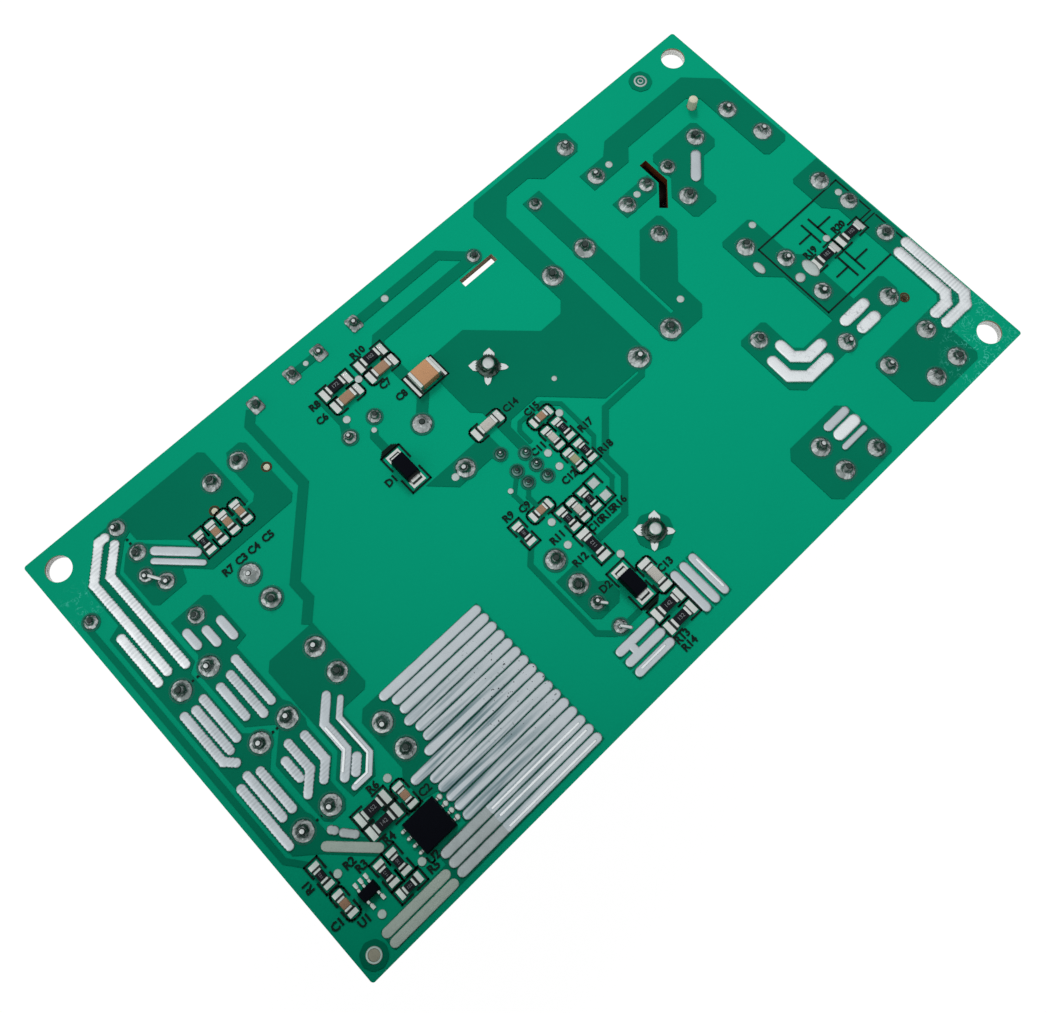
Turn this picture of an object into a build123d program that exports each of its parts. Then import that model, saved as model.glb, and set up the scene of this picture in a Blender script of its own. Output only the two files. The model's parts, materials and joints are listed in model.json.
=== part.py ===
"""Range control board: a single-sided power board that lies on its tall components, solder side up.

X runs along the board's long edge, from the low-voltage end to the mains end, and Y along its short
edge. The origin is under the middle of the board, at the plane that the tall components stand on.
All sizes are in millimetres.
"""

from build123d import *
import os

os.makedirs("parts", exist_ok=True)

# ---------------------------------------------------------------- driving dimensions

board_length = 142.0
board_width = 80.3
board_thickness = 1.6
board_corner_radius = 0.5
foil_thickness = 0.1  # copper and the solder mask over it
component_height = 30.0  # from the tops of the tall components to the board

mount_hole_radius = 2.1
mount_hole_inset = 3.8  # from the hole's centre to each edge
peg_hole_radius = 0.65
slot_width = 1.5
slots = [[(10.0, 29.5), (17.2, 29.5)], [(48.1, 25.1), (48.1, 20.2), (44.5, 16.5)]]

underside = component_height
solder_face = underside + board_thickness
foil_face = solder_face + foil_thickness

board_left = -board_length / 2
board_right = board_length / 2
board_back = board_width / 2
board_front = -board_width / 2
mount_left = board_left + mount_hole_inset
mount_right = board_right - mount_hole_inset
mount_back = board_back - mount_hole_inset
mount_front = board_front + mount_hole_inset

lead_width = 0.8
joint_top_radius = 0.6
joint_slope = 45.0  # from upright
lead_proud = 0.5  # how far a lead stands out of its joint
bar_height = 0.5
bar_slope = 25.0  # from upright

mount_holes = [(mount_left, mount_back), (mount_right, mount_back), (mount_right, mount_front)]
corner_pad = (-68.4, -37.5)
test_ring = (59.5, 36.9)

# Through-hole places, each by the component it belongs to
transformer_x = -29.0
transformer_y = -2.0
transformer_row_spacing = 35.3
transformer_pitch = 5.08
transformer_left_steps = [-3.5, -2.5, -0.5, 0.5, 2.5, 3.5]
transformer_right_steps = [-3.5, -2.5, 1.5, 3.5]
heatsink_pin_x = 3.0
heatsink_pin_back = 15.7
heatsink_pin_front = -21.9
controller_x = -2.8
controller_y = -0.3
controller_pitch = 1.27
controller_row_step = 3.0
controller_back_steps = [1.0, -1.0, -3.0]
controller_front_steps = [3.0, 0.0, -2.0]
bulk_pitch = 7.5
bulk_x = 25.6
bulk_places = [(bulk_x, 20.2), (bulk_x, 0.1)]
output_pitch = 5.2
output_places = [(-62.5, 9.1, 0), (-58.9, -4.6, 0), (-62.3, -18.3, 0), (-56.9, 32.7, 90)]
bias_x = -11.3
bias_y = -26.3
bias_pitch = 5.0
bridge_x = 40.4
bridge_y = 24.9
bridge_pitch = 7.55
choke_x = 58.5
choke_y = 8.5
choke_pin_x = 18.6
choke_pin_y = 13.4
line_capacitor_x = 60.6
line_capacitor_y = [-4.2, -12.5]
line_capacitor_pitch = 15.9
fuse_x = 38.4
fuse_y = -24.0
fuse_span = 25.5
tab_pitch = 5.2
left_tab = (32.0, -33.2)
right_tab = (57.3, -35.5)
varistor_x = 49.6
varistor_y = -25.1
varistor_pitch = 7.5
varistor_offset = 1.9
thermistor_x = 48.1
thermistor_y = 21.6
thermistor_pitch = 5.2
header_pitch = 8.1
back_header = (62.5, 22.4)
front_header = (59.9, -24.8)
output_header_x = -39.1
output_header_y = 31.0
output_header_pitch = 5.3
output_peg_pitch = 10.4
output_peg_offset = 3.8
drum_x = -56.5
drum_y = 20.0
drum_pitch = 7.2
disc_y = 36.3
disc_pitch = 7.5
disc_x = [-24.8, -11.6]
clamp_disc_x = -18.6
clamp_disc_y = 21.9
clamp_disc_pitch = 5.1
link_back_start = 14.7
link_back_end = 29.0
link_back_y = 31.9
link_left_start = -68.6
link_left_end = -58.2
link_left_y = 26.4
locating_peg = (62.5, 27.2)
spare_hole = (61.7, -22.6)


def pair(x, y, pitch, turned=0):
    """The two lead places of a part: side by side along X, or along Y if it is turned by 90."""
    if turned:
        return [(x, y + pitch / 2), (x, y - pitch / 2)]
    return [(x - pitch / 2, y), (x + pitch / 2, y)]


transformer_left_x = transformer_x - transformer_row_spacing / 2
transformer_right_x = transformer_x + transformer_row_spacing / 2
transformer_leads = [
    (transformer_left_x, transformer_y + step * transformer_pitch) for step in transformer_left_steps
]
transformer_leads += [
    (transformer_right_x, transformer_y + step * transformer_pitch) for step in transformer_right_steps
]
controller_back_leads = [
    (controller_x, controller_y + step * controller_pitch) for step in controller_back_steps
]
controller_front_leads = [
    (controller_x - controller_row_step, controller_y + step * controller_pitch)
    for step in controller_front_steps
]
bulk_leads = [place for x, y in bulk_places for place in pair(x, y, bulk_pitch)]
output_leads = [place for x, y, turned in output_places for place in pair(x, y, output_pitch, turned)]
bias_leads = pair(bias_x, bias_y, bias_pitch, turned=90)
bridge_leads = [(bridge_x, bridge_y + step * bridge_pitch) for step in (-1.5, -0.5, 0.5, 1.5)]
choke_leads = [
    (choke_x + across * choke_pin_x / 2, choke_y + along * choke_pin_y / 2)
    for across in (-1, 1)
    for along in (-1, 1)
]
line_capacitor_leads = [
    place for y in line_capacitor_y for place in pair(line_capacitor_x, y, line_capacitor_pitch)
]
fuse_leads_at = pair(fuse_x, fuse_y, fuse_span, turned=90)
tab_leads = pair(*left_tab, tab_pitch, turned=90) + pair(*right_tab, tab_pitch)
varistor_leads = [
    (varistor_x - varistor_offset / 2, varistor_y + varistor_pitch / 2),
    (varistor_x + varistor_offset / 2, varistor_y - varistor_pitch / 2),
]
thermistor_leads = pair(thermistor_x, thermistor_y, thermistor_pitch)
header_leads = pair(*back_header, header_pitch) + pair(*front_header, header_pitch, turned=90)
output_header_leads = pair(output_header_x, output_header_y, output_header_pitch)
output_pegs = pair(output_header_x, output_header_y - output_peg_offset, output_peg_pitch)
drum_leads = pair(drum_x, drum_y, drum_pitch, turned=90)
disc_leads = [place for x in disc_x for place in pair(x, disc_y, disc_pitch)]
clamp_leads = pair(clamp_disc_x, clamp_disc_y, clamp_disc_pitch)
link_leads = [
    (link_back_start, link_back_y),
    (link_back_end, link_back_y),
    (link_left_start, link_left_y),
    (link_left_end, link_left_y),
]
heatsink_pin_places = [(heatsink_pin_x, heatsink_pin_back), (heatsink_pin_x, heatsink_pin_front)]

# Every soldered lead, by the diameter of the pad it is soldered to
pads = {
    3.6: bulk_leads,
    3.2: transformer_leads + output_leads + choke_leads + header_leads + tab_leads,
    3.0: bridge_leads + line_capacitor_leads + varistor_leads + fuse_leads_at + output_header_leads,
    2.6: thermistor_leads + disc_leads + drum_leads,
    2.2: clamp_leads + link_leads + bias_leads,
    1.8: controller_back_leads + controller_front_leads,
}

# ---------------------------------------------------------------- the board and its copper

pin_sides = 8  # faces round a small pin, peg or opening
heatsink_pin_radius = 0.95
locating_peg_radius = 0.85
peg_clearance = 0.1
output_peg_radius = peg_hole_radius - peg_clearance


def cut_small_openings():
    """Cut every peg and pin opening out of the current sketch."""
    with Locations(*output_pegs, spare_hole):
        RegularPolygon(peg_hole_radius, pin_sides, mode=Mode.SUBTRACT)
    with Locations(*heatsink_pin_places):
        RegularPolygon(heatsink_pin_radius + peg_clearance, pin_sides, mode=Mode.SUBTRACT)
    with Locations(locating_peg):
        RegularPolygon(locating_peg_radius + peg_clearance, pin_sides, mode=Mode.SUBTRACT)


with BuildPart() as circuit_board:
    with BuildSketch(Plane.XY.offset(underside)):
        RectangleRounded(board_length, board_width, board_corner_radius)
        with Locations(*mount_holes):
            Circle(mount_hole_radius, mode=Mode.SUBTRACT)
        cut_small_openings()
        for points in slots:
            with BuildLine():
                Polyline(*points)
            trace(line_width=slot_width, mode=Mode.SUBTRACT)
    extrude(amount=board_thickness)
circuit_board.part.label = "circuit_board"
export_step(circuit_board.part, "parts/circuit_board.step")

# Copper areas under the mask, each by its corners
foil_margin = 0.3  # from the copper to the board's edge
foil_right_edge = board_right - foil_margin
output_negative = [
    (-60.3, 36.5), (-40.3, 36.5), (-39.5, 35.7), (-39.5, 24.9), (-49.8, 24.9), (-50.2, 26.6),
    (-55.8, 31.9), (-55.8, 33.6), (-57.3, 33.0), (-61.0, 29.4), (-61.0, 11.2), (-62.6, 10.2),
    (-62.6, -1.7), (-59.4, -4.8), (-63.0, -8.6), (-63.0, -16.4), (-62.6, -17.4), (-62.6, -20.6),
    (-57.0, -27.6), (-57.0, -29.6), (-58.6, -29.6), (-58.9, -28.7), (-65.0, -22.4), (-68.2, -19.8),
    (-68.2, 22.4), (-65.9, 23.2), (-65.9, 30.8),
]
output_positive = [
    (-60.0, 18.1), (-53.8, 18.1), (-53.0, 17.3), (-53.0, 9.0), (-55.2, 8.6), (-55.2, -2.0),
    (-54.5, -3.2), (-54.5, -6.4), (-55.0, -7.4), (-55.0, -13.0), (-57.6, -15.6), (-57.6, -19.0),
    (-58.6, -20.2), (-61.0, -20.2), (-61.9, -19.2), (-61.9, -8.6), (-58.2, -4.9), (-58.2, -4.1),
    (-61.7, -1.3), (-61.7, 9.6), (-60.0, 11.6),
]
filtered_positive = [
    (-60.3, 29.2), (-58.4, 31.2), (-56.0, 31.2), (-49.4, 24.3), (-39.0, 24.3), (-38.0, 25.2),
    (-38.0, 31.5), (-37.0, 33.3), (-34.5, 33.3), (-33.7, 32.5), (-33.7, 21.2), (-34.7, 20.2),
    (-50.2, 20.2), (-53.5, 23.6), (-54.4, 21.4), (-59.5, 21.4), (-60.3, 22.2),
]
secondary_end = [
    (-54.1, 2.4), (-52.9, 3.6), (-44.6, 3.6), (-44.6, -8.4), (-45.4, -9.2), (-50.0, -9.2),
    (-50.0, -16.4), (-52.4, -19.6), (-56.6, -19.6), (-56.9, -16.1), (-54.1, -13.2),
]
switch_area = [
    (-48.9, -12.6), (-47.5, -11.2), (-24.7, -11.2), (-24.7, -38.8), (-65.9, -39.1), (-65.9, -35.8),
    (-53.2, -35.6), (-53.2, -33.6), (-47.3, -33.4), (-47.3, -27.4), (-49.8, -26.8), (-49.8, -22.6),
    (-48.9, -21.5),
]
bulk_positive = [
    (-4.5, 12.0), (-4.5, 23.3), (4.3, 23.3), (13.5, 14.4), (18.0, 14.4), (19.8, 16.2), (19.8, 37.4),
    (21.7, 39.3), (41.5, 39.3), (42.5, 38.3), (42.5, 35.4), (41.5, 34.4), (33.6, 34.4), (31.6, 36.4),
    (26.6, 36.4), (23.7, 33.5), (23.7, -0.4), (22.7, -1.4), (13.0, -1.2), (5.2, 6.6), (-0.6, 6.6),
    (-1.5, 5.7), (-1.5, 1.0), (-3.1, 1.0), (-3.1, 10.6),
]
bulk_negative = [
    (27.5, 33.4), (31.3, 33.4), (31.3, 2.0), (32.0, 2.0), (32.0, 9.8), (38.5, 16.3), (42.5, 16.3),
    (43.1, 15.7), (43.1, 12.0), (36.3, 5.2), (36.3, -0.3), (34.6, -2.0), (28.4, -2.0), (27.5, -1.1),
]
filtered_line = [
    (38.3, 30.6), (44.0, 30.6), (46.3, 32.6), (65.3, 32.6), (70.2, 27.7), (70.2, 12.0), (69.4, 11.3),
    (65.4, 11.3), (64.7, 12.0), (64.7, 27.2), (62.9, 29.0), (48.5, 29.0), (46.5, 26.9), (38.3, 26.9),
]
bridge_strip = [(38.6, 22.9), (47.0, 22.9), (47.0, 20.7), (45.8, 19.4), (38.6, 19.4)]
filtered_neutral = [
    (49.6, 24.0), (50.6, 25.0), (59.8, 25.0), (60.6, 24.2), (60.6, 19.9), (59.6, 18.9), (56.9, 18.9),
    (52.7, 14.9), (52.7, 12.0), (52.0, 11.3), (47.7, 11.3), (47.0, 12.0), (47.0, 17.0), (49.6, 19.7),
]
fused_line = [
    (46.5, 4.6), (47.1, 5.2), (53.2, 5.2), (53.8, 4.6), (53.8, -4.2), (55.3, -5.7), (55.3, -17.0),
    (61.4, -17.0), (62.1, -17.7), (62.1, -20.6), (60.2, -22.5), (37.6, -22.5), (35.6, -20.5),
    (35.6, -9.9), (36.2, -9.3), (40.9, -9.3), (41.5, -9.9), (41.5, -16.0), (42.7, -17.2),
    (49.9, -17.2), (49.9, -6.4), (46.5, -3.0),
]
neutral = [
    (64.2, 4.6), (64.8, 5.2), (foil_right_edge, 5.2), (foil_right_edge, -29.3), (68.8, -31.2),
    (62.9, -31.2), (62.9, -37.2), (62.1, -38.0), (51.2, -38.0), (48.8, -35.6), (48.8, -27.6),
    (49.4, -27.0), (65.2, -26.8), (66.1, -25.9), (66.1, -4.0), (64.2, -1.9),
]
live_input = [
    (26.9, -28.8), (28.3, -27.4), (38.9, -27.4), (40.3, -28.8), (40.3, -38.2), (39.7, -38.8),
    (28.3, -38.8), (26.9, -37.4),
]
clamp_area = [(-17.8, 7.7), (-5.0, 7.7), (-5.0, 2.6), (-6.6, 2.6), (-7.2, 4.0), (-14.1, 4.0)]
bias_area = [
    (-13.6, -17.2), (-9.6, -17.2), (-9.0, -17.8), (-9.0, -21.5), (-7.6, -22.6), (-7.6, -24.9),
    (-8.8, -26.0), (-12.6, -26.0), (-13.6, -25.0),
]
copper_areas = [
    output_negative, output_positive, filtered_positive, secondary_end, switch_area, bulk_positive,
    bulk_negative, filtered_line, bridge_strip, filtered_neutral, fused_line, neutral, live_input,
    clamp_area, bias_area,
]

# Copper tracks under the mask, each by its width and the points it runs through
copper_tracks = [
    (0.9, [(-69.5, 25.6), (-69.5, -19.5), (-67.2, -22.5)]),
    (1.6, [(-45.4, 4.0), (-42.6, 6.8), (-42.6, 10.0), (-31.4, 21.2), (-31.4, 34.4), (-29.6, 36.2)]),
    (1.4, [(-20.0, 36.3), (-16.4, 36.3)]),
    (1.7, [(-7.6, 36.2), (10.4, 36.2), (14.4, 32.2)]),
    (2.0, [(14.0, 31.7), (-6.6, 31.7), (-8.3, 30.0)]),
    (1.9, [(-7.9, 26.2), (-7.9, 19.4), (-10.6, 16.7)]),
    (1.3, [(-17.6, 20.2), (-18.3, 19.4), (-18.3, 16.2)]),
    (1.5, [(-20.3, 30.0), (-20.3, 24.4), (-21.2, 22.8)]),
    (1.1, [
        (21.4, -1.0), (20.0, -2.3), (11.8, -2.3), (6.0, -8.1), (6.0, -12.4), (1.6, -16.8), (-4.2, -16.8),
    ]),
    (0.7, [(-0.9, 1.6), (-0.9, 4.3), (0.1, 5.3), (4.9, 5.3), (7.1, 3.1), (7.1, -4.4), (5.2, -6.3)]),
    (0.9, [(-12.2, -10.2), (-14.7, -12.6), (-14.7, -27.0), (-12.6, -29.1), (-7.4, -29.1)]),
]

# Bars near the front edge that stand on narrow copper of their own
front_runs = [
    [(0.2, -29.0), (0.2, -35.7)],
    [(2.2, -29.0), (2.2, -35.7)],
    [(4.2, -29.0), (4.2, -35.7)],
    [(-14.1, -31.5), (-7.6, -31.5)],
    [(-14.1, -33.6), (-7.6, -33.6)],
    [(-14.1, -35.6), (-7.6, -35.6)],
]
front_bed_width = 1.6
ring_foil_radius = 2.15
star_foil_radius = 3.2

with BuildPart() as copper_foil:
    with BuildSketch(Plane.XY.offset(solder_face)):
        for corners in copper_areas:
            Polygon(*corners, align=None)
        for width, points in copper_tracks:
            with BuildLine():
                Polyline(*points)
            trace(line_width=width)
        for start, end in front_runs:
            with Locations(((start[0] + end[0]) / 2, (start[1] + end[1]) / 2)):
                Rectangle(abs(end[0] - start[0]) + front_bed_width, abs(end[1] - start[1]) + front_bed_width)
        with Locations(corner_pad, test_ring):
            RegularPolygon(ring_foil_radius, pin_sides)
        with Locations(heatsink_pin_places[1]):
            RegularPolygon(star_foil_radius, pin_sides)
        cut_small_openings()
    extrude(amount=foil_thickness)
copper_foil.part.label = "copper_foil"
export_step(copper_foil.part, "parts/copper_foil.step")

# ---------------------------------------------------------------- solder: bars, joints and stars

array_pitch = 1.73
array_top = -12.0
array_right = -25.4
array_left = [
    -44.0, -43.0, -43.0, -43.7, -43.0, -43.1, -44.4, -48.6,
    -46.4, -46.4, -46.4, -46.4, -46.4, -52.2, -52.2, -52.2,
]
# Bars of solder on bared copper, by width: the points that each one's centre line runs through
thin_runs = [
    [(-48.8, -7.8), (-50.8, -9.8), (-50.8, -16.6), (-52.9, -18.8), (-55.6, -18.8)],
    [(-52.6, -15.8), (-54.1, -17.3)],
    [(-56.0, 27.3), (-50.6, 21.9)],
    [(-62.0, -21.0), (-59.6, -23.6)],
    [(34.8, -33.2), (39.4, -33.2)],
]
plain_runs = [
    [(left, array_top - row * array_pitch), (array_right, array_top - row * array_pitch)]
    for row, left in enumerate(array_left)
]
plain_runs += [
    # beside the output capacitors
    [(-59.2, 35.3), (-60.3, 35.3), (-64.8, 30.6), (-64.8, 12.8)],
    [(-58.7, 33.4), (-62.2, 29.9), (-62.2, 11.8)],
    [(-66.8, 21.2), (-66.8, 12.4)],
    [(-59.2, 15.2), (-59.2, 12.7)],
    [(-56.8, 13.6), (-56.8, 11.1)],
    [(-54.3, 13.3), (-54.3, 10.2)],
    [(-67.1, 5.8), (-67.1, -3.0), (-65.8, -4.4)],
    [(-65.3, 5.4), (-65.3, -2.4)],
    [(-63.5, 5.9), (-63.5, -1.7)],
    [(-60.6, 5.5), (-60.6, -0.2)],
    [(-58.4, 5.9), (-58.4, -1.7)],
    [(-56.4, 7.2), (-56.4, -1.0)],
    [(-67.6, -7.8), (-67.6, -18.4)],
    [(-65.8, -7.0), (-65.8, -14.8)],
    [(-64.0, -7.8), (-64.0, -14.8)],
    [(-60.5, -9.2), (-60.5, -12.3)],
    [(-58.6, -7.6), (-58.6, -12.4), (-61.1, -14.9)],
    [(-56.1, -8.3), (-56.1, -12.9), (-58.1, -14.9)],
    [(-50.1, -6.1), (-53.0, -9.0), (-53.0, -14.0), (-55.8, -16.8)],
    [(-54.9, 28.5), (-50.3, 23.9)],
    [(-63.9, -22.1), (-58.6, -27.4)],
    [(-65.2, -36.6), (-54.2, -36.6)],
    [(-65.2, -38.3), (-54.2, -38.3)],
    [(35.3, -29.1), (39.4, -29.1)],
]
plain_runs += front_runs
wide_runs = [
    [(55.9, 19.9), (52.8, 16.9)],
    [(37.2, -15.4), (37.2, -18.9), (39.6, -21.2), (44.1, -21.2)],
    [(40.2, -14.4), (40.2, -17.0), (42.0, -18.7), (45.2, -18.7)],
    [(51.3, -18.7), (55.8, -18.7)],
    [(52.4, -21.5), (55.4, -21.5)],
    [(69.6, -16.2), (69.6, -28.8), (68.1, -30.4), (63.3, -30.4)],
    [(67.3, -16.6), (67.3, -26.6), (66.0, -28.0), (63.3, -28.0)],
    [(35.7, -31.2), (39.3, -31.2)],
]
bar_runs = {1.0: thin_runs, 1.4: plain_runs, 2.0: wide_runs}


with BuildPart() as solder_bars:
    for width, runs in bar_runs.items():
        with BuildSketch(Plane.XY.offset(foil_face)):
            for points in runs:
                with BuildLine():
                    run = Polyline(*points)
                trace(line_width=width)
                for place, along in ((points[0], 0), (points[-1], 1)):
                    with Locations(place):
                        RegularPolygon(width / 2, 4, rotation=run.tangent_angle_at(along))
        extrude(amount=bar_height, taper=bar_slope)
solder_bars.part.label = "solder_bars"
export_step(solder_bars.part, "parts/solder_bars.step")


joint_wide = 2.5  # a wider pad's joint has more faces
joint_with_end = 2.9  # a wider pad's joint shows its lead's end


def joint_top(diameter):
    """The height that a joint's sloping side reaches on a pad of this diameter."""
    return foil_face + diameter / 2 - joint_top_radius


def joint_sides(diameter):
    """Faces round a joint: fewer round a small one."""
    return 8 if diameter > joint_wide else 6


with BuildPart() as solder_joints:
    for diameter, places in pads.items():
        with BuildSketch(Plane.XY.offset(foil_face)):
            with Locations(*places):
                RegularPolygon(diameter / 2, joint_sides(diameter))
        extrude(amount=joint_top(diameter) - foil_face, taper=joint_slope)
solder_joints.part.label = "solder_joints"
export_step(solder_joints.part, "parts/solder_joints.step")

with BuildPart() as lead_ends:
    large_pads = {diameter: places for diameter, places in pads.items() if diameter > joint_with_end}
    for diameter, places in large_pads.items():
        with BuildSketch(Plane.XY.offset(joint_top(diameter))):
            with Locations(*places):
                Rectangle(lead_width, lead_width)
        extrude(amount=lead_proud)
lead_ends.part.label = "lead_ends"
export_step(lead_ends.part, "parts/lead_ends.step")

star_reach = 3.3
star_root = 0.9  # half the width of an arm at the middle
star_tip = 0.4
star_flat = 0.5
star_height = 1.2
star_middle_radius = 1.8
star_taper = 20.0

with BuildPart() as star_joints:
    with BuildSketch(Plane.XY.offset(foil_face)):
        with Locations(*heatsink_pin_places):
            with PolarLocations(0, 4, start_angle=45):
                Polygon(
                    (0, -star_root), (star_reach, -star_tip), (star_reach, star_tip), (0, star_root),
                    align=None,
                )
            RegularPolygon(heatsink_pin_radius, pin_sides, mode=Mode.SUBTRACT)
    extrude(amount=star_flat)
    with BuildSketch(Plane.XY.offset(foil_face)):
        with Locations(*heatsink_pin_places):
            RegularPolygon(star_middle_radius, pin_sides)
    extrude(amount=star_height, taper=star_taper)
    with BuildSketch(Plane.XY.offset(foil_face)):
        with Locations(*heatsink_pin_places):
            RegularPolygon(heatsink_pin_radius, pin_sides)
    extrude(amount=star_height, mode=Mode.SUBTRACT)
star_joints.part.label = "star_joints"
export_step(star_joints.part, "parts/star_joints.step")

# ---------------------------------------------------------------- small parts on the solder side

# chip sizes: length, width, height, length of an end cap
small_chip = (2.0, 1.25, 0.6, 0.4)
long_chip = (3.2, 1.6, 0.7, 0.5)
large_chip = (4.4, 3.3, 1.8, 0.6)
cap_proud = 0.05  # how far an end cap stands out of the body

# x, y and how far the chip is turned
small_resistors = [
    (-48.5, 24.3, 90), (4.4, -0.2, 90), (4.4, -5.2, 90), (-12.0, -8.4, 90), (-5.4, -11.4, 90),
    (-0.8, -11.4, 90), (-66.9, -24.6, 90), (-60.1, -30.7, 90), (-57.8, -30.7, 90), (-58.8, -34.2, 0),
]
long_resistors = [
    (-17.2, 29.9, 0), (-9.9, 29.8, 0), (-5.4, -17.0, 90), (-3.8, -31.4, 0), (-3.8, -34.1, 0),
    (57.8, -8.5, 0), (64.0, -8.5, 0), (-55.7, -22.8, 0), (-55.7, -25.3, 0),
]
small_capacitors = [
    (-46.2, 24.3, 90), (-43.9, 24.3, 90), (-41.4, 24.3, 90), (3.2, 3.6, 0), (2.1, -0.2, 90),
    (2.1, -5.2, 90), (-7.5, -7.5, 0), (-3.2, -11.4, 90), (-66.9, -29.7, 90), (-51.1, -24.6, 90),
]
long_capacitors = [(-17.2, 27.2, 0), (-9.8, 27.2, 0), (-4.0, 8.4, 0), (-1.9, -26.8, 90)]
large_capacitors = [(-5.6, 21.4, 0)]


def turned_spots(spots):
    """Locations on the solder side for parts given as x, y and turn."""
    return [Location((x, y, foil_face), (0, 0, turn)) for x, y, turn in spots]


def chip_bodies(spots, size):
    """The bodies between the end caps, added to the current part."""
    length, width, height, cap = size
    with Locations(*turned_spots(spots)):
        Box(length - 2 * cap, width, height, align=(Align.CENTER, Align.CENTER, Align.MIN))


def chip_ends(spots, size):
    """The two metal caps of each chip, added to the current part."""
    length, width, height, cap = size
    with Locations(*turned_spots(spots)):
        with GridLocations(length - cap, 0, 2, 1):
            Box(cap, width, height + cap_proud, align=(Align.CENTER, Align.CENTER, Align.MIN))


with BuildPart() as chip_resistors:
    chip_bodies(small_resistors, small_chip)
    chip_bodies(long_resistors, long_chip)
chip_resistors.part.label = "chip_resistors"
export_step(chip_resistors.part, "parts/chip_resistors.step")

with BuildPart() as chip_capacitors:
    chip_bodies(small_capacitors, small_chip)
    chip_bodies(long_capacitors, long_chip)
    chip_bodies(large_capacitors, large_chip)
chip_capacitors.part.label = "chip_capacitors"
export_step(chip_capacitors.part, "parts/chip_capacitors.step")

with BuildPart() as chip_end_caps:
    chip_ends(small_resistors + small_capacitors, small_chip)
    chip_ends(long_resistors + long_capacitors, long_chip)
    chip_ends(large_capacitors, large_chip)
chip_end_caps.part.label = "chip_end_caps"
export_step(chip_end_caps.part, "parts/chip_end_caps.step")

diode_spots = [(-18.2, 12.0, 90), (-5.4, -25.4, 90)]
diode_length = 4.2
diode_width = 2.6
diode_height = 2.1
diode_taper = 5.0  # every moulded body narrows upward by its own taper, in degrees
diode_lead_length = 0.6
diode_lead_width = 1.4
diode_lead_height = 1.0

with BuildPart() as surface_diodes:
    with BuildSketch(Plane.XY.offset(foil_face)):
        for x, y, turn in diode_spots:
            with Locations(Location((x, y), turn)):
                Rectangle(diode_length, diode_width)
    extrude(amount=diode_height, taper=diode_taper)
surface_diodes.part.label = "surface_diodes"
export_step(surface_diodes.part, "parts/surface_diodes.step")

with BuildPart() as surface_diode_leads:
    with Locations(*turned_spots(diode_spots)):
        with GridLocations(diode_length + diode_lead_length, 0, 2, 1):
            Box(
                diode_lead_length, diode_lead_width, diode_lead_height,
                align=(Align.CENTER, Align.CENTER, Align.MIN),
            )
surface_diode_leads.part.label = "surface_diode_leads"
export_step(surface_diode_leads.part, "parts/surface_diode_leads.step")

package_x = -51.3
package_y = -30.1
package_length = 5.9
package_width = 5.6
package_height = 1.1
package_pitch = 1.27
package_lead = 0.6
package_lead_height = 0.3
package_taper = 10.0

with BuildPart() as power_transistor:
    with BuildSketch(Plane.XY.offset(foil_face)):
        with Locations((package_x, package_y)):
            Rectangle(package_length, package_width)
    extrude(amount=package_height, taper=package_taper)
power_transistor.part.label = "power_transistor"
export_step(power_transistor.part, "parts/power_transistor.step")

with BuildPart() as power_transistor_leads:
    with Locations((package_x, package_y, foil_face)):
        with GridLocations(package_length + package_lead, package_pitch, 2, 4):
            Box(
                package_lead, package_lead, package_lead_height,
                align=(Align.CENTER, Align.CENTER, Align.MIN),
            )
power_transistor_leads.part.label = "power_transistor_leads"
export_step(power_transistor_leads.part, "parts/power_transistor_leads.step")

regulator_x = -63.4
regulator_y = -30.8
regulator_length = 3.0
regulator_width = 1.8
regulator_height = 1.1
regulator_pitch = 0.95
regulator_lead_length = 0.8
regulator_lead_width = 0.4
regulator_lead_height = 0.4
regulator_taper = 8.0

with BuildPart() as regulator_chip:
    with BuildSketch(Plane.XY.offset(foil_face)):
        with Locations((regulator_x, regulator_y)):
            Rectangle(regulator_length, regulator_width)
    extrude(amount=regulator_height, taper=regulator_taper)
regulator_chip.part.label = "regulator_chip"
export_step(regulator_chip.part, "parts/regulator_chip.step")

with BuildPart() as regulator_leads:
    with Locations((regulator_x, regulator_y, foil_face)):
        for side, count, pitch in ((1, 3, regulator_pitch), (-1, 2, 2 * regulator_pitch)):
            with Locations((0, side * (regulator_width + regulator_lead_length) / 2)):
                with GridLocations(pitch, 0, count, 1):
                    Box(
                        regulator_lead_width, regulator_lead_length, regulator_lead_height,
                        align=(Align.CENTER, Align.CENTER, Align.MIN),
                    )
regulator_leads.part.label = "regulator_leads"
export_step(regulator_leads.part, "parts/regulator_leads.step")

# ---------------------------------------------------------------- transformer

core_length = 40.0
core_width = 39.0
core_thickness = 12.8
core_leg = 6.0
core_middle_leg = 12.8
core_back = 6.0
bobbin_clearance = 0.2
bobbin_wall = 1.0
flange_size = 26.0
flange_thickness = 1.5
winding_size = 22.0
winding_corner = 3.5
tape_thickness = 0.5
tape_inset = 1.5  # from each flange to the tape
rail_overhang = 2.5  # from the pin row to the rail's outer side
winding_z = flange_size / 2
bobbin_half = core_length / 2 - core_back - bobbin_clearance
spool_half = bobbin_half - flange_thickness
spool_size = core_middle_leg + 2 * (bobbin_clearance + bobbin_wall)
rail_outer = transformer_row_spacing / 2 + rail_overhang


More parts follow.
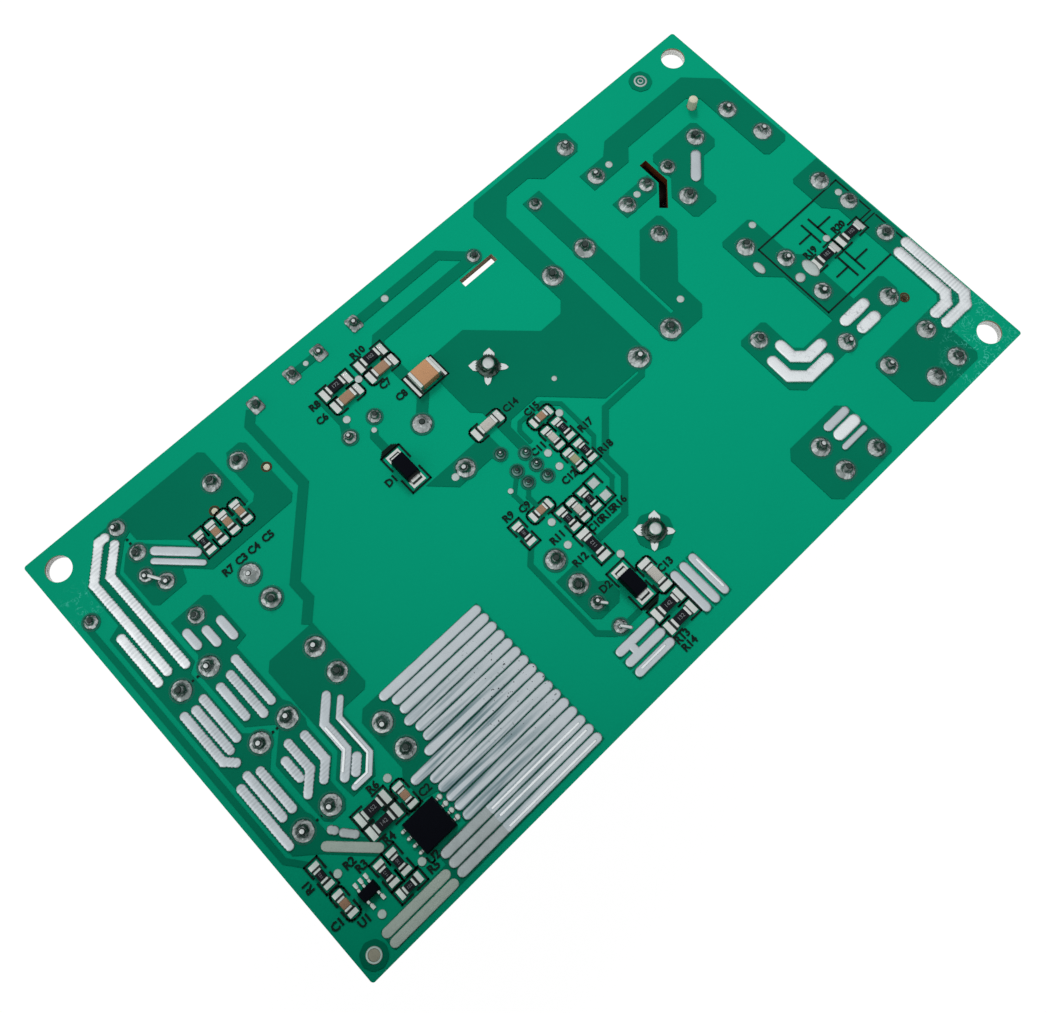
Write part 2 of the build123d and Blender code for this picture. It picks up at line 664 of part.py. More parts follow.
def core_half(side):
    """One E-shaped half of the core; side is -1 or 1 along X."""
    with BuildPart() as half:
        with BuildSketch(Plane.XY.offset(winding_z - core_thickness / 2)):
            with Locations((transformer_x + side * core_length / 4, transformer_y)):
                Rectangle(core_length / 2, core_width)
            window_length = core_length / 2 - core_back
            window_width = (core_width - core_middle_leg) / 2 - core_leg
            window_y = (core_middle_leg + window_width) / 2
            with Locations((transformer_x + side * window_length / 2, transformer_y)):
                with GridLocations(0, 2 * window_y, 1, 2):
                    Rectangle(window_length, window_width, mode=Mode.SUBTRACT)
        extrude(amount=core_thickness)
    return half.part


def across_x(x):
    """A plane facing +X at this x, centred on the transformer's winding axis."""
    return Plane(origin=(x, transformer_y, winding_z), x_dir=(0, 1, 0), z_dir=(1, 0, 0))


def chamfered_square(size, corner, mode=Mode.ADD):
    """A square with its corners cut, in the current sketch."""
    half = size / 2
    flat = half - corner
    Polygon(
        (half, flat), (flat, half), (-flat, half), (-half, flat),
        (-half, -flat), (-flat, -half), (flat, -half), (half, -flat),
        align=None, mode=mode,
    )


with BuildPart() as transformer_core_left:
    add(core_half(-1))
transformer_core_left.part.label = "transformer_core_left"
export_step(transformer_core_left.part, "parts/transformer_core_left.step")

with BuildPart() as transformer_core_right:
    add(core_half(1))
transformer_core_right.part.label = "transformer_core_right"
export_step(transformer_core_right.part, "parts/transformer_core_right.step")

with BuildPart() as transformer_bobbin:
    with BuildSketch(across_x(transformer_x - bobbin_half)):
        Rectangle(spool_size, spool_size)
    extrude(amount=2 * bobbin_half)
    for side in (-1, 1):
        with BuildSketch(across_x(transformer_x + side * bobbin_half)):
            Rectangle(flange_size, flange_size)
        extrude(amount=-side * flange_thickness)
        rail_depth = rail_outer - spool_half
        with Locations((transformer_x + side * (spool_half + rail_depth / 2), transformer_y, underside)):
            Box(
                rail_depth, core_width, underside - flange_size,
                align=(Align.CENTER, Align.CENTER, Align.MAX),
            )
    with BuildSketch(across_x(transformer_x - bobbin_half)):
        Rectangle(core_middle_leg + 2 * bobbin_clearance, core_middle_leg + 2 * bobbin_clearance)
    extrude(amount=2 * bobbin_half, mode=Mode.SUBTRACT)
transformer_bobbin.part.label = "transformer_bobbin"
export_step(transformer_bobbin.part, "parts/transformer_bobbin.step")

with BuildPart() as transformer_winding:
    with BuildSketch(across_x(transformer_x - spool_half)):
        chamfered_square(winding_size, winding_corner)
        Rectangle(spool_size, spool_size, mode=Mode.SUBTRACT)
    extrude(amount=2 * spool_half)
transformer_winding.part.label = "transformer_winding"
export_step(transformer_winding.part, "parts/transformer_winding.step")

with BuildPart() as transformer_tape:
    with BuildSketch(across_x(transformer_x - spool_half + tape_inset)):
        chamfered_square(winding_size + 2 * tape_thickness, winding_corner)
        chamfered_square(winding_size, winding_corner, mode=Mode.SUBTRACT)
    extrude(amount=2 * (spool_half - tape_inset))
transformer_tape.part.label = "transformer_tape"
export_step(transformer_tape.part, "parts/transformer_tape.step")

# ---------------------------------------------------------------- heatsink and controller

plate_left = -1.7
plate_thickness = 2.5
heatsink_y = -3.1
heatsink_length = 46.0
fin_end = 9.0
fin_thickness = 1.2
fin_pitch = 7.3
fin_count = 7
boss_radius = 2.4
boss_opening = 0.9
heatsink_pin_depth = 10.0
heatsink_pin_proud = 1.6
plate_right = plate_left + plate_thickness
fin_length = fin_end - plate_right

with BuildPart() as heatsink:
    with BuildSketch():
        with Locations(((plate_left + plate_right) / 2, heatsink_y)):
            Rectangle(plate_thickness, heatsink_length)
        with Locations((plate_right + fin_length / 2, heatsink_y)):
            with GridLocations(0, fin_pitch, 1, fin_count):
                Rectangle(fin_length, fin_thickness)
        with Locations(*heatsink_pin_places):
            RegularPolygon(boss_radius, pin_sides)
            RegularPolygon(heatsink_pin_radius, pin_sides, mode=Mode.SUBTRACT)
            with Locations((boss_radius / 2, 0)):
                Rectangle(boss_radius, boss_opening, mode=Mode.SUBTRACT)
    extrude(amount=component_height)
heatsink.part.label = "heatsink"
export_step(heatsink.part, "parts/heatsink.step")

with BuildPart() as heatsink_pins:
    with BuildSketch(Plane.XY.offset(underside - heatsink_pin_depth)):
        with Locations(*heatsink_pin_places):
            RegularPolygon(heatsink_pin_radius, pin_sides)
    extrude(amount=foil_face + heatsink_pin_proud - underside + heatsink_pin_depth)
heatsink_pins.part.label = "heatsink_pins"
export_step(heatsink_pins.part, "parts/heatsink_pins.step")

controller_width = 10.2
controller_height = 8.2
controller_thickness = 2.2
controller_top = 24.2
controller_bend = 26.0
controller_lead = 0.5

with BuildPart() as switching_controller:
    with Locations((plate_left, controller_y, controller_top)):
        Box(
            controller_thickness, controller_width, controller_height,
            align=(Align.MAX, Align.CENTER, Align.MAX),
        )
switching_controller.part.label = "switching_controller"
export_step(switching_controller.part, "parts/switching_controller.step")

with BuildPart() as controller_leads:
    for x, y in controller_back_leads:
        with Locations((x, y, controller_top)):
            Box(
                controller_lead, controller_lead, underside - controller_top,
                align=(Align.CENTER, Align.CENTER, Align.MIN),
            )
    for x, y in controller_front_leads:
        with Locations((controller_x, y, controller_top)):
            Box(
                controller_lead, controller_lead, controller_bend - controller_top,
                align=(Align.CENTER, Align.CENTER, Align.MIN),
            )
        with Locations(((x + controller_x) / 2, y, controller_bend)):
            Box(
                controller_row_step + controller_lead, controller_lead, controller_lead,
                align=(Align.CENTER, Align.CENTER, Align.MIN),
            )
        with Locations((x, y, controller_bend)):
            Box(
                controller_lead, controller_lead, underside - controller_bend,
                align=(Align.CENTER, Align.CENTER, Align.MIN),
            )
controller_leads.part.label = "controller_leads"
export_step(controller_leads.part, "parts/controller_leads.step")

clip_width = 6.0
clip_thickness = 0.5
clip_reach = 5.0
clip_bottom = controller_top - controller_height

with BuildPart() as controller_clip:
    with Locations((plate_left - controller_thickness, controller_y, clip_bottom)):
        Box(clip_thickness, clip_width, clip_reach, align=(Align.MAX, Align.CENTER, Align.MIN))
    with Locations((plate_left, controller_y, clip_bottom)):
        Box(
            controller_thickness + clip_thickness, clip_width, clip_thickness,
            align=(Align.MAX, Align.CENTER, Align.MAX),
        )
controller_clip.part.label = "controller_clip"
export_step(controller_clip.part, "parts/controller_clip.step")

# ---------------------------------------------------------------- electrolytic capacitors

can_sides = 16
can_rim = 0.8
can_rim_slope = 45.0  # from upright
bulk_radius = 9.0
output_radius = 5.0
output_length = 20.0
bias_radius = 4.0
bias_length = 11.5


def upright_cans(places, radius, length):
    """Cans that stand on the board's component side."""
    with BuildPart() as cans:
        with BuildSketch(Plane.XY.offset(underside)):
            with Locations(*places):
                RegularPolygon(radius, can_sides)
        extrude(amount=can_rim - length)
        with BuildSketch(Plane.XY.offset(underside - length + can_rim)):
            with Locations(*places):
                RegularPolygon(radius, can_sides)
        extrude(amount=-can_rim, taper=can_rim_slope)
    return cans.part


with BuildPart() as bulk_capacitors:
    add(upright_cans(bulk_places, bulk_radius, component_height))
bulk_capacitors.part.label = "bulk_capacitors"
export_step(bulk_capacitors.part, "parts/bulk_capacitors.step")

with BuildPart() as output_capacitors:
    add(upright_cans([(x, y) for x, y, turned in output_places], output_radius, output_length))
output_capacitors.part.label = "output_capacitors"
export_step(output_capacitors.part, "parts/output_capacitors.step")

with BuildPart() as bias_capacitor:
    add(upright_cans([(bias_x, bias_y)], bias_radius, bias_length))
bias_capacitor.part.label = "bias_capacitor"
export_step(bias_capacitor.part, "parts/bias_capacitor.step")

# ---------------------------------------------------------------- bridge rectifier

standoff = 3.0  # from the board to a body that hangs on its leads
bridge_length = 28.5
bridge_thickness = 4.0
bridge_height = 17.0
bridge_corner = 3.0
bridge_lead = 1.0

with BuildPart() as bridge_rectifier:
    half = bridge_length / 2
    bridge_foot = (bridge_x, bridge_y, underside - standoff)
    with BuildSketch(Plane(origin=bridge_foot, x_dir=(0, 1, 0), z_dir=(1, 0, 0))):
        Polygon(
            (-half, 0), (half, 0), (half, bridge_corner - bridge_height),
            (half - bridge_corner, -bridge_height), (-half, -bridge_height),
            align=None,
        )
    extrude(amount=bridge_thickness / 2, both=True)
bridge_rectifier.part.label = "bridge_rectifier"
export_step(bridge_rectifier.part, "parts/bridge_rectifier.step")

with BuildPart() as bridge_leads_part:
    with BuildSketch(Plane.XY.offset(underside)):
        with Locations(*bridge_leads):
            Rectangle(bridge_lead, bridge_lead)
    extrude(amount=-standoff)
bridge_leads_part.part.label = "bridge_leads"
export_step(bridge_leads_part.part, "parts/bridge_leads.step")

# ---------------------------------------------------------------- line choke

choke_frame_length = 22.0
choke_frame_depth = 5.0
choke_limb = 4.5
choke_flange = 16.8
choke_flange_thickness = 0.8
choke_spool = 7.0
choke_coil_size = 15.0
choke_coil_corner = 2.5
choke_clearance = 0.1  # from the bobbin to the core
choke_half = choke_frame_length / 2 - choke_limb - choke_clearance
choke_foot_overhang = 2.0  # from the pins to the feet's outer ends
choke_foot_width = 5.0
choke_foot_height = 5.5
choke_axis_z = underside - choke_flange / 2
choke_gap = 0.2  # from the flange to the frame's far limb


def choke_plane(x):
    """A plane facing +X at this distance from the choke's middle, centred on the coil axis."""
    return Plane(origin=(choke_x + x, choke_y, choke_axis_z), x_dir=(0, 1, 0), z_dir=(1, 0, 0))


with BuildPart() as choke_core:
    frame_top = choke_axis_z + choke_limb / 2
    frame_bottom = choke_axis_z - choke_flange / 2 - choke_gap - choke_limb
    with Locations((choke_x, choke_y, frame_bottom)):
        Box(
            choke_frame_length, choke_frame_depth, frame_top - frame_bottom,
            align=(Align.CENTER, Align.CENTER, Align.MIN),
        )
    with Locations((choke_x, choke_y, frame_bottom + choke_limb)):
        Box(
            choke_frame_length - 2 * choke_limb,
            choke_frame_depth,
            frame_top - frame_bottom - 2 * choke_limb,
            align=(Align.CENTER, Align.CENTER, Align.MIN), mode=Mode.SUBTRACT,
        )
choke_core.part.label = "choke_core"
export_step(choke_core.part, "parts/choke_core.step")

with BuildPart() as choke_bobbin:
    with BuildSketch(choke_plane(-choke_half)):
        Rectangle(choke_spool, choke_spool)
    extrude(amount=2 * choke_half)
    for x in (-choke_half, -choke_flange_thickness / 2, choke_half - choke_flange_thickness):
        with BuildSketch(choke_plane(x)):
            Rectangle(choke_flange, choke_flange)
        extrude(amount=choke_flange_thickness)
    for side in (-1, 1):
        foot_length = choke_pin_x / 2 + choke_foot_overhang - choke_half
        for end in (-1, 1):
            with Locations((
                choke_x + side * (choke_half + foot_length / 2),
                choke_y + end * (choke_flange - choke_foot_width) / 2,
                underside,
            )):
                Box(
                    foot_length, choke_foot_width, choke_foot_height,
                    align=(Align.CENTER, Align.CENTER, Align.MAX),
                )
    with BuildSketch(choke_plane(-choke_half)):
        Rectangle(choke_frame_depth + 2 * choke_clearance, choke_limb + 2 * choke_clearance)
    extrude(amount=2 * choke_half, mode=Mode.SUBTRACT)
choke_bobbin.part.label = "choke_bobbin"
export_step(choke_bobbin.part, "parts/choke_bobbin.step")

with BuildPart() as choke_coils:
    coil_length = choke_half - 1.5 * choke_flange_thickness
    for start in (choke_flange_thickness / 2, choke_flange_thickness - choke_half):
        with BuildSketch(choke_plane(start)):
            chamfered_square(choke_coil_size, choke_coil_corner)
            Rectangle(choke_spool, choke_spool, mode=Mode.SUBTRACT)
        extrude(amount=coil_length)
choke_coils.part.label = "choke_coils"
export_step(choke_coils.part, "parts/choke_coils.step")

# ---------------------------------------------------------------- line capacitors and disc parts

line_capacitor_size = (19.0, 7.2, 13.5)

with BuildPart() as line_capacitors:
    for y in line_capacitor_y:
        with Locations((line_capacitor_x, y, underside)):
            Box(*line_capacitor_size, align=(Align.CENTER, Align.CENTER, Align.MAX))
line_capacitors.part.label = "line_capacitors"
export_step(line_capacitors.part, "parts/line_capacitors.step")

disc_sides = 16
disc_lead = 0.6


def upright_disc(x, y, radius, thickness, facing=(0, 1, 0), gap=standoff):
    """A disc that hangs on its leads, with this gap between it and the board."""
    with BuildPart() as disc:
        with BuildSketch(Plane(origin=(x, y, underside - gap - radius), z_dir=facing)):
            RegularPolygon(radius, disc_sides)
        extrude(amount=thickness / 2, both=True)
    return disc.part


disc_radius = 4.5
disc_thickness = 4.0
clamp_disc_radius = 3.5
clamp_disc_thickness = 3.5
varistor_radius = 7.0
varistor_thickness = 4.5
thermistor_radius = 5.5
thermistor_thickness = 7.0
thermistor_gap = 0.8  # it fills the view through the bent slot

with BuildPart() as safety_capacitors:
    for x in disc_x:
        add(upright_disc(x, disc_y, disc_radius, disc_thickness))
safety_capacitors.part.label = "safety_capacitors"
export_step(safety_capacitors.part, "parts/safety_capacitors.step")

with BuildPart() as clamp_capacitor:
    add(upright_disc(clamp_disc_x, clamp_disc_y, clamp_disc_radius, clamp_disc_thickness))
clamp_capacitor.part.label = "clamp_capacitor"
export_step(clamp_capacitor.part, "parts/clamp_capacitor.step")

with BuildPart() as varistor:
    add(upright_disc(varistor_x, varistor_y, varistor_radius, varistor_thickness, facing=(1, 0, 0)))
varistor.part.label = "varistor"
export_step(varistor.part, "parts/varistor.step")

with BuildPart() as thermistor:
    add(upright_disc(
        thermistor_x, thermistor_y, thermistor_radius, thermistor_thickness, gap=thermistor_gap,
    ))
thermistor.part.label = "thermistor"
export_step(thermistor.part, "parts/thermistor.step")

with BuildPart() as disc_leads_part:
    with BuildSketch(Plane.XY.offset(underside)):
        with Locations(*disc_leads, *clamp_leads, *varistor_leads, *thermistor_leads):
            Rectangle(disc_lead, disc_lead)
    extrude(amount=-standoff - clamp_disc_radius)
    for body in (safety_capacitors, clamp_capacitor, varistor, thermistor):
        add(body.part, mode=Mode.SUBTRACT)
disc_leads_part.part.label = "disc_leads"
export_step(disc_leads_part.part, "parts/disc_leads.step")

# ---------------------------------------------------------------- fuse

fuse_radius = 2.5
fuse_cap_radius = 2.7
fuse_length = 20.0
fuse_cap_length = 5.0
fuse_sides = 16
fuse_lead = 0.8
fuse_gap = 0.3  # from the caps to the board
fuse_z = underside - fuse_cap_radius - fuse_gap
fuse_glass_length = fuse_length - 2 * fuse_cap_length


def fuse_plane(y):
    """A plane facing +Y at this distance from the fuse's middle, centred on its axis."""
    return Plane(origin=(fuse_x, fuse_y + y, fuse_z), x_dir=(1, 0, 0), z_dir=(0, 1, 0))


with BuildPart() as fuse_body:
    with BuildSketch(fuse_plane(-fuse_glass_length / 2)):
        RegularPolygon(fuse_radius, fuse_sides)
    extrude(amount=fuse_glass_length)
fuse_body.part.label = "fuse_body"
export_step(fuse_body.part, "parts/fuse_body.step")

with BuildPart() as fuse_caps:
    for start in (-fuse_length / 2, fuse_glass_length / 2):
        with BuildSketch(fuse_plane(start)):
            RegularPolygon(fuse_cap_radius, fuse_sides)
        extrude(amount=fuse_cap_length)
fuse_caps.part.label = "fuse_caps"
export_step(fuse_caps.part, "parts/fuse_caps.step")

with BuildPart() as fuse_leads:
    reach = (fuse_span - fuse_length) / 2
    for side in (-1, 1):
        with Locations((fuse_x, fuse_y + side * (fuse_length + reach + fuse_lead / 2) / 2, fuse_z)):
            Box(fuse_lead, reach + fuse_lead / 2, fuse_lead)
        with Locations((fuse_x, fuse_y + side * fuse_span / 2, underside)):
            Box(fuse_lead, fuse_lead, underside - fuse_z, align=(Align.CENTER, Align.CENTER, Align.MAX))
fuse_leads.part.label = "fuse_leads"
export_step(fuse_leads.part, "parts/fuse_leads.step")

# ---------------------------------------------------------------- terminals and headers

tab_width = 6.3
tab_thickness = 0.8
tab_length = 8.0
tab_shoulder_width = 7.4
tab_shoulder_height = 3.0
tab_tip = 1.2
tab_hole_radius = 0.9
tab_hole_inset = 3.4  # from the tab's tip

with BuildPart() as tab_terminals:
    for x, y, turn in ((*left_tab, 90), (*right_tab, 0)):
        with Locations(Location((x, y, underside), (0, 0, turn))):
            Box(
                tab_shoulder_width, tab_thickness, tab_shoulder_height,
                align=(Align.CENTER, Align.CENTER, Align.MAX),
            )
            with Locations((0, 0, -tab_shoulder_height)):
                Box(tab_width, tab_thickness, tab_length, align=(Align.CENTER, Align.CENTER, Align.MAX))
    tips = tab_terminals.faces().group_by(Axis.Z)[0].edges()
    chamfer(tips.filter_by(lambda edge: edge.length < tab_thickness + tab_tip), tab_tip)
    hole_z = underside - tab_shoulder_height - tab_length + tab_hole_inset
    for x, y, facing in ((*left_tab, (1, 0, 0)), (*right_tab, (0, 1, 0))):
        with BuildSketch(Plane(origin=(x, y, hole_z), z_dir=facing)):
            RegularPolygon(tab_hole_radius, pin_sides)
        extrude(amount=tab_thickness, both=True, mode=Mode.SUBTRACT)
tab_terminals.part.label = "tab_terminals"
export_step(tab_terminals.part, "parts/tab_terminals.step")

header_length = 12.0
header_depth = 8.5
header_base = 3.2
header_wall = 1.2
header_wall_height = 7.0
header_pin = 1.1
header_pin_length = 8.0
header_pin_inset = 2.5  # from the pins to the body's near side
header_middle = header_depth / 2 - header_pin_inset
locating_peg_proud = 1.8

with BuildPart() as mains_headers:
    for x, y, turn in ((*back_header, 0), (*front_header, -90)):
        with Locations(Location((x, y, underside), (0, 0, turn))):
            with Locations((0, header_middle, 0)):
                Box(
                    header_length, header_depth, header_base,
                    align=(Align.CENTER, Align.CENTER, Align.MAX),
                )
            with Locations((0, header_middle + header_depth / 2, -header_base)):
                Box(
                    header_length, header_wall, header_wall_height,
                    align=(Align.CENTER, Align.MAX, Align.MAX),
                )
    with BuildSketch(Plane.XY.offset(underside)):
        with Locations(locating_peg):
            RegularPolygon(locating_peg_radius, pin_sides)
    extrude(amount=foil_face + locating_peg_proud - underside)
mains_headers.part.label = "mains_headers"
export_step(mains_headers.part, "parts/mains_headers.step")

with BuildPart() as mains_header_pins:
    with BuildSketch(Plane.XY.offset(underside - header_base)):
        with Locations(*header_leads):
            Rectangle(header_pin, header_pin)
    extrude(amount=-header_pin_length)
mains_header_pins.part.label = "mains_header_pins"
export_step(mains_header_pins.part, "parts/mains_header_pins.step")

output_header_length = 12.5
output_header_depth = 8.4
output_header_height = 12.0
output_header_floor = 3.0
output_header_wall = 1.0
output_header_middle_y = 30.6
output_pin_length = 7.0

with BuildPart() as output_header:
    with Locations((output_header_x, output_header_middle_y, underside)):
        Box(
            output_header_length, output_header_depth, output_header_height,
            align=(Align.CENTER, Align.CENTER, Align.MAX),
        )
    with Locations((output_header_x, output_header_middle_y, underside - output_header_floor)):
        Box(
            output_header_length - 2 * output_header_wall,
            output_header_depth - 2 * output_header_wall,
            output_header_height - output_header_floor,
            align=(Align.CENTER, Align.CENTER, Align.MAX), mode=Mode.SUBTRACT,
        )
    with BuildSketch(Plane.XY.offset(underside)):
        with Locations(*output_pegs):
            RegularPolygon(output_peg_radius, pin_sides)
    extrude(amount=board_thickness)
output_header.part.label = "output_header"
export_step(output_header.part, "parts/output_header.step")

with BuildPart() as output_header_pins:
    with BuildSketch(Plane.XY.offset(underside - output_header_floor)):
        with Locations(*output_header_leads):
            Rectangle(header_pin, header_pin)
    extrude(amount=-output_pin_length)
output_header_pins.part.label = "output_header_pins"
export_step(output_header_pins.part, "parts/output_header_pins.step")

# ---------------------------------------------------------------- drum inductor and wire links

drum_radius = 5.0
drum_post_radius = 2.5
drum_coil_radius = 4.4
drum_flange = 1.5
drum_height = 11.5
drum_bottom = underside - drum_height

with BuildPart() as drum_core:
    with BuildSketch(Plane.XY.offset(drum_bottom)):
        with Locations((drum_x, drum_y)):
            RegularPolygon(drum_radius, disc_sides)
    extrude(amount=drum_flange)
    with BuildSketch(Plane.XY.offset(underside)):
        with Locations((drum_x, drum_y)):
            RegularPolygon(drum_radius, disc_sides)
    extrude(amount=-drum_flange)
    with BuildSketch(Plane.XY.offset(drum_bottom)):
        with Locations((drum_x, drum_y)):
            RegularPolygon(drum_post_radius, pin_sides)
    extrude(amount=drum_height)
drum_core.part.label = "drum_core"
export_step(drum_core.part, "parts/drum_core.step")

with BuildPart() as drum_coil:
    with BuildSketch(Plane.XY.offset(drum_bottom + drum_flange)):
        with Locations((drum_x, drum_y)):
            RegularPolygon(drum_coil_radius, disc_sides)
            RegularPolygon(drum_post_radius, pin_sides, mode=Mode.SUBTRACT)
    extrude(amount=drum_height - 2 * drum_flange)
drum_coil.part.label = "drum_coil"
export_step(drum_coil.part, "parts/drum_coil.step")

with BuildPart() as wire_links:
    for start, end, y in (
        (link_back_start, link_back_end, link_back_y),
        (link_left_start, link_left_end, link_left_y),
    ):
        with Locations(((start + end) / 2, y, underside)):
            Box(end - start, disc_lead, disc_lead, align=(Align.CENTER, Align.CENTER, Align.MAX))
wire_links.part.label = "wire_links"
export_step(wire_links.part, "parts/wire_links.step")
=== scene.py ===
# %% [markdown]
# # A power and control board for a kitchen range
# The board lies with its solder side up. This lesson dresses the plain solids of the model: solder gets its
# round meniscus, chips get soft edges and printed outlines, and every surface gets a finish of its own. The
# first cell empties the scene, loads the solids and notes how large they are.

# %% Load the frame
import json
import math
import random

import bmesh
import bpy
from mathutils import Matrix, Vector

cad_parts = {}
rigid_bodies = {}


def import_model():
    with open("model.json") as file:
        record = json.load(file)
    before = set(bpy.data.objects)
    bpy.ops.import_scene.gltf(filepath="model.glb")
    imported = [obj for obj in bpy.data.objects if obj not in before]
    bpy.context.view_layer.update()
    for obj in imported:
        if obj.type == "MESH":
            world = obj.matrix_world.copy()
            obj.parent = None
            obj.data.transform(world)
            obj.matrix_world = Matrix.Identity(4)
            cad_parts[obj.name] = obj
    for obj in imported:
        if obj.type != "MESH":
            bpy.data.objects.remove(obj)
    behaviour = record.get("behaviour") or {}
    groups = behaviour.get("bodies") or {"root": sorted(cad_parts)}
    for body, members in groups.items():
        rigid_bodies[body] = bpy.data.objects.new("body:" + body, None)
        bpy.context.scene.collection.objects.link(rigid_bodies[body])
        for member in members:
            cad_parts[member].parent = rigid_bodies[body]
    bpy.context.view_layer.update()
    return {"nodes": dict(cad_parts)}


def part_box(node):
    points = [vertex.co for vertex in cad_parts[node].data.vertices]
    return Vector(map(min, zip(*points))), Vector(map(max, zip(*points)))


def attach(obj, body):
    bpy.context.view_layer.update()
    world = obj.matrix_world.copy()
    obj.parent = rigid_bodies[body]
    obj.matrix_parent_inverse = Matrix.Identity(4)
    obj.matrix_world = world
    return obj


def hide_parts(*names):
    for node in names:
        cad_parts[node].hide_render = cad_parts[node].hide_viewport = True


for leftover in list(bpy.data.objects):
    bpy.data.objects.remove(leftover)
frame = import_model()
MM = 0.001


def box_mm(node):
    """The lowest and highest corner of a CAD node, in millimetres."""
    return [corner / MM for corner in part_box(node)]


def new_object(name, data):
    """A new object in the scene that holds a mesh, a lamp or a camera."""
    item = bpy.data.objects.new(name, data)
    bpy.context.collection.objects.link(item)
    return item


def mesh_of(name, shape):
    """A mesh made from a bmesh, which is freed."""
    mesh = bpy.data.meshes.new(name)
    shape.to_mesh(mesh)
    shape.free()
    return mesh


solder_mm = box_mm("circuit_board")[1].z
foil_mm = box_mm("copper_foil")[1].z
print("nodes", len(frame["nodes"]), "solder face at", round(solder_mm, 2))

# %% [markdown]
# The board is looked at from almost straight above, turned so that its long edge climbs to the right. A
# camera with a lens of about 34 mm stands 18 cm above the table. The board has one frame of its own, so the
# camera is simply placed and turned in it, and no piece is fitted to the view.

# %% Camera
lens = bpy.data.cameras.new("board_camera")
lens.lens = 33.72
lens.sensor_width = 36.0
lens.sensor_fit = "HORIZONTAL"
camera = new_object("board_camera", lens)
camera.location = (-0.03774, -0.03249, 0.17909)
camera.rotation_euler = [math.radians(turn) for turn in (15.023, -0.747, -43.613)]
bpy.context.scene.camera = camera
bpy.context.scene.view_settings.view_transform = "Standard"
print("camera", tuple(round(c, 4) for c in camera.location))

# %% [markdown]
# A finish and the room's light are both networks of small nodes. One helper makes a node, sets its numbers
# and joins it to the sockets that feed it, so that each network reads as a list of what goes into what.

# %% Helpers for shader nodes


def feed(tree, node, inputs):
    """Sets each named input of a node to a value, or links it to a socket of another node."""
    for name, value in inputs.items():
        if isinstance(value, bpy.types.NodeSocket):
            tree.links.new(value, node.inputs[name])
        else:
            node.inputs[name].default_value = value


def new_node(tree, kind, inputs, **settings):
    """A new shader node of a kind, with its settings and its inputs."""
    node = tree.nodes.new("ShaderNode" + kind)
    for name, value in settings.items():
        setattr(node, name, value)
    feed(tree, node, inputs)
    return node


def seen_by_camera(tree):
    """A socket that is 1 for rays from the camera and 0 for all others."""
    return new_node(tree, "LightPath", {}).outputs["Is Camera Ray"]


def plain_paint(name, colour):
    """A principled material of one colour."""
    paint = bpy.data.materials.new(name)
    paint.use_nodes = True
    paint.node_tree.nodes["Principled BSDF"].inputs["Base Color"].default_value = (*colour, 1)
    return paint


print("nodes can be wired")

# %% [markdown]
# Solder is a mirror that is a little blurred, so it shows the room. A room that is bright overhead and dim
# near the horizon makes flat solder pale and the steep sides of a joint dark, as over a work bench. The
# bright part leans to the left, as a window does. The world holds that room as a ramp along one leaning
# axis, and two soft boxes add direction. The key's beam is narrow, and two black cards hang over the near
# left corner, so that the board falls off into shade there, as it does under the person who leans over it.

# %% Light
world = bpy.data.worlds.new("work_room")
bpy.context.scene.world = world
world.use_nodes = True
room = world.node_tree
lean = new_node(room, "VectorMath", {
    0: new_node(room, "TexCoord", {}).outputs["Generated"],
    1: Vector((-0.22, 0.08, 0.97)).normalized(),
}, operation="DOT_PRODUCT")
ramp = new_node(room, "ValToRGB", {"Fac": lean.outputs["Value"]})
dim, bright = ramp.color_ramp.elements
dim.position, dim.color = 0.0, (0.10, 0.11, 0.12, 1)
bright.position, bright.color = 0.62, (0.80, 0.83, 0.84, 1)
sky = room.nodes["Background"]
feed(room, sky, {"Color": ramp.outputs["Color"], "Strength": 1.0})
backdrop = new_node(room, "Background", {"Color": (1, 1, 1, 1)})
pick = new_node(room, "MixShader", {0: seen_by_camera(room), 1: sky.outputs[0], 2: backdrop.outputs[0]})
feed(room, room.nodes["World Output"], {"Surface": pick.outputs[0]})


def soft_box(name, place, aim, size, watts, spread=180):
    """A square lamp at place that faces aim, with its beam held to a spread in degrees."""
    lamp = bpy.data.lights.new(name, "AREA")
    lamp.shape = "SQUARE"
    lamp.size = size
    lamp.energy = watts
    lamp.spread = math.radians(spread)
    box = new_object(name, lamp)
    box.location = place
    box.rotation_euler = (Vector(aim) - Vector(place)).to_track_quat("-Z", "Y").to_euler()
    return box


def staged_sheet(name, low, high, up, paint):
    """A level sheet between two corners at a height, in metres, that belongs to the stage."""
    shape = bmesh.new()
    corners = [(low[0], low[1]), (high[0], low[1]), (high[0], high[1]), (low[0], high[1])]
    shape.faces.new([shape.verts.new((x, y, up)) for x, y in corners])
    mesh = mesh_of(name, shape)
    mesh.materials.append(paint)
    sheet = new_object(name, mesh)
    return sheet


def flag(name, low, high, up):
    """A black card that only shades: neither the lens nor metal sees it."""
    card = staged_sheet(name, low, high, up, plain_paint(name, (0.02, 0.02, 0.02)))
    card.visible_camera = card.visible_glossy = card.visible_transmission = False


key_box = soft_box("key_box", (0.26, 0.34, 0.40), (0.022, 0.012, 0.03), 0.14, 0.058, 30)
key_box.visible_glossy = False
soft_box("fill_box", (-0.50, 0.10, 0.45), (0, 0, 0.03), 0.50, 0.3)
flag("left_flag", (-0.25, -0.16), (-0.055, -0.012), 0.07)
flag("near_flag", (-0.054, -0.16), (0.0, -0.052), 0.072)

# %% [markdown]
# The floor is a pale sheet. A camera ray sees mostly its own white light, so it stays white in the picture,
# and the small rest keeps the object's shadow.

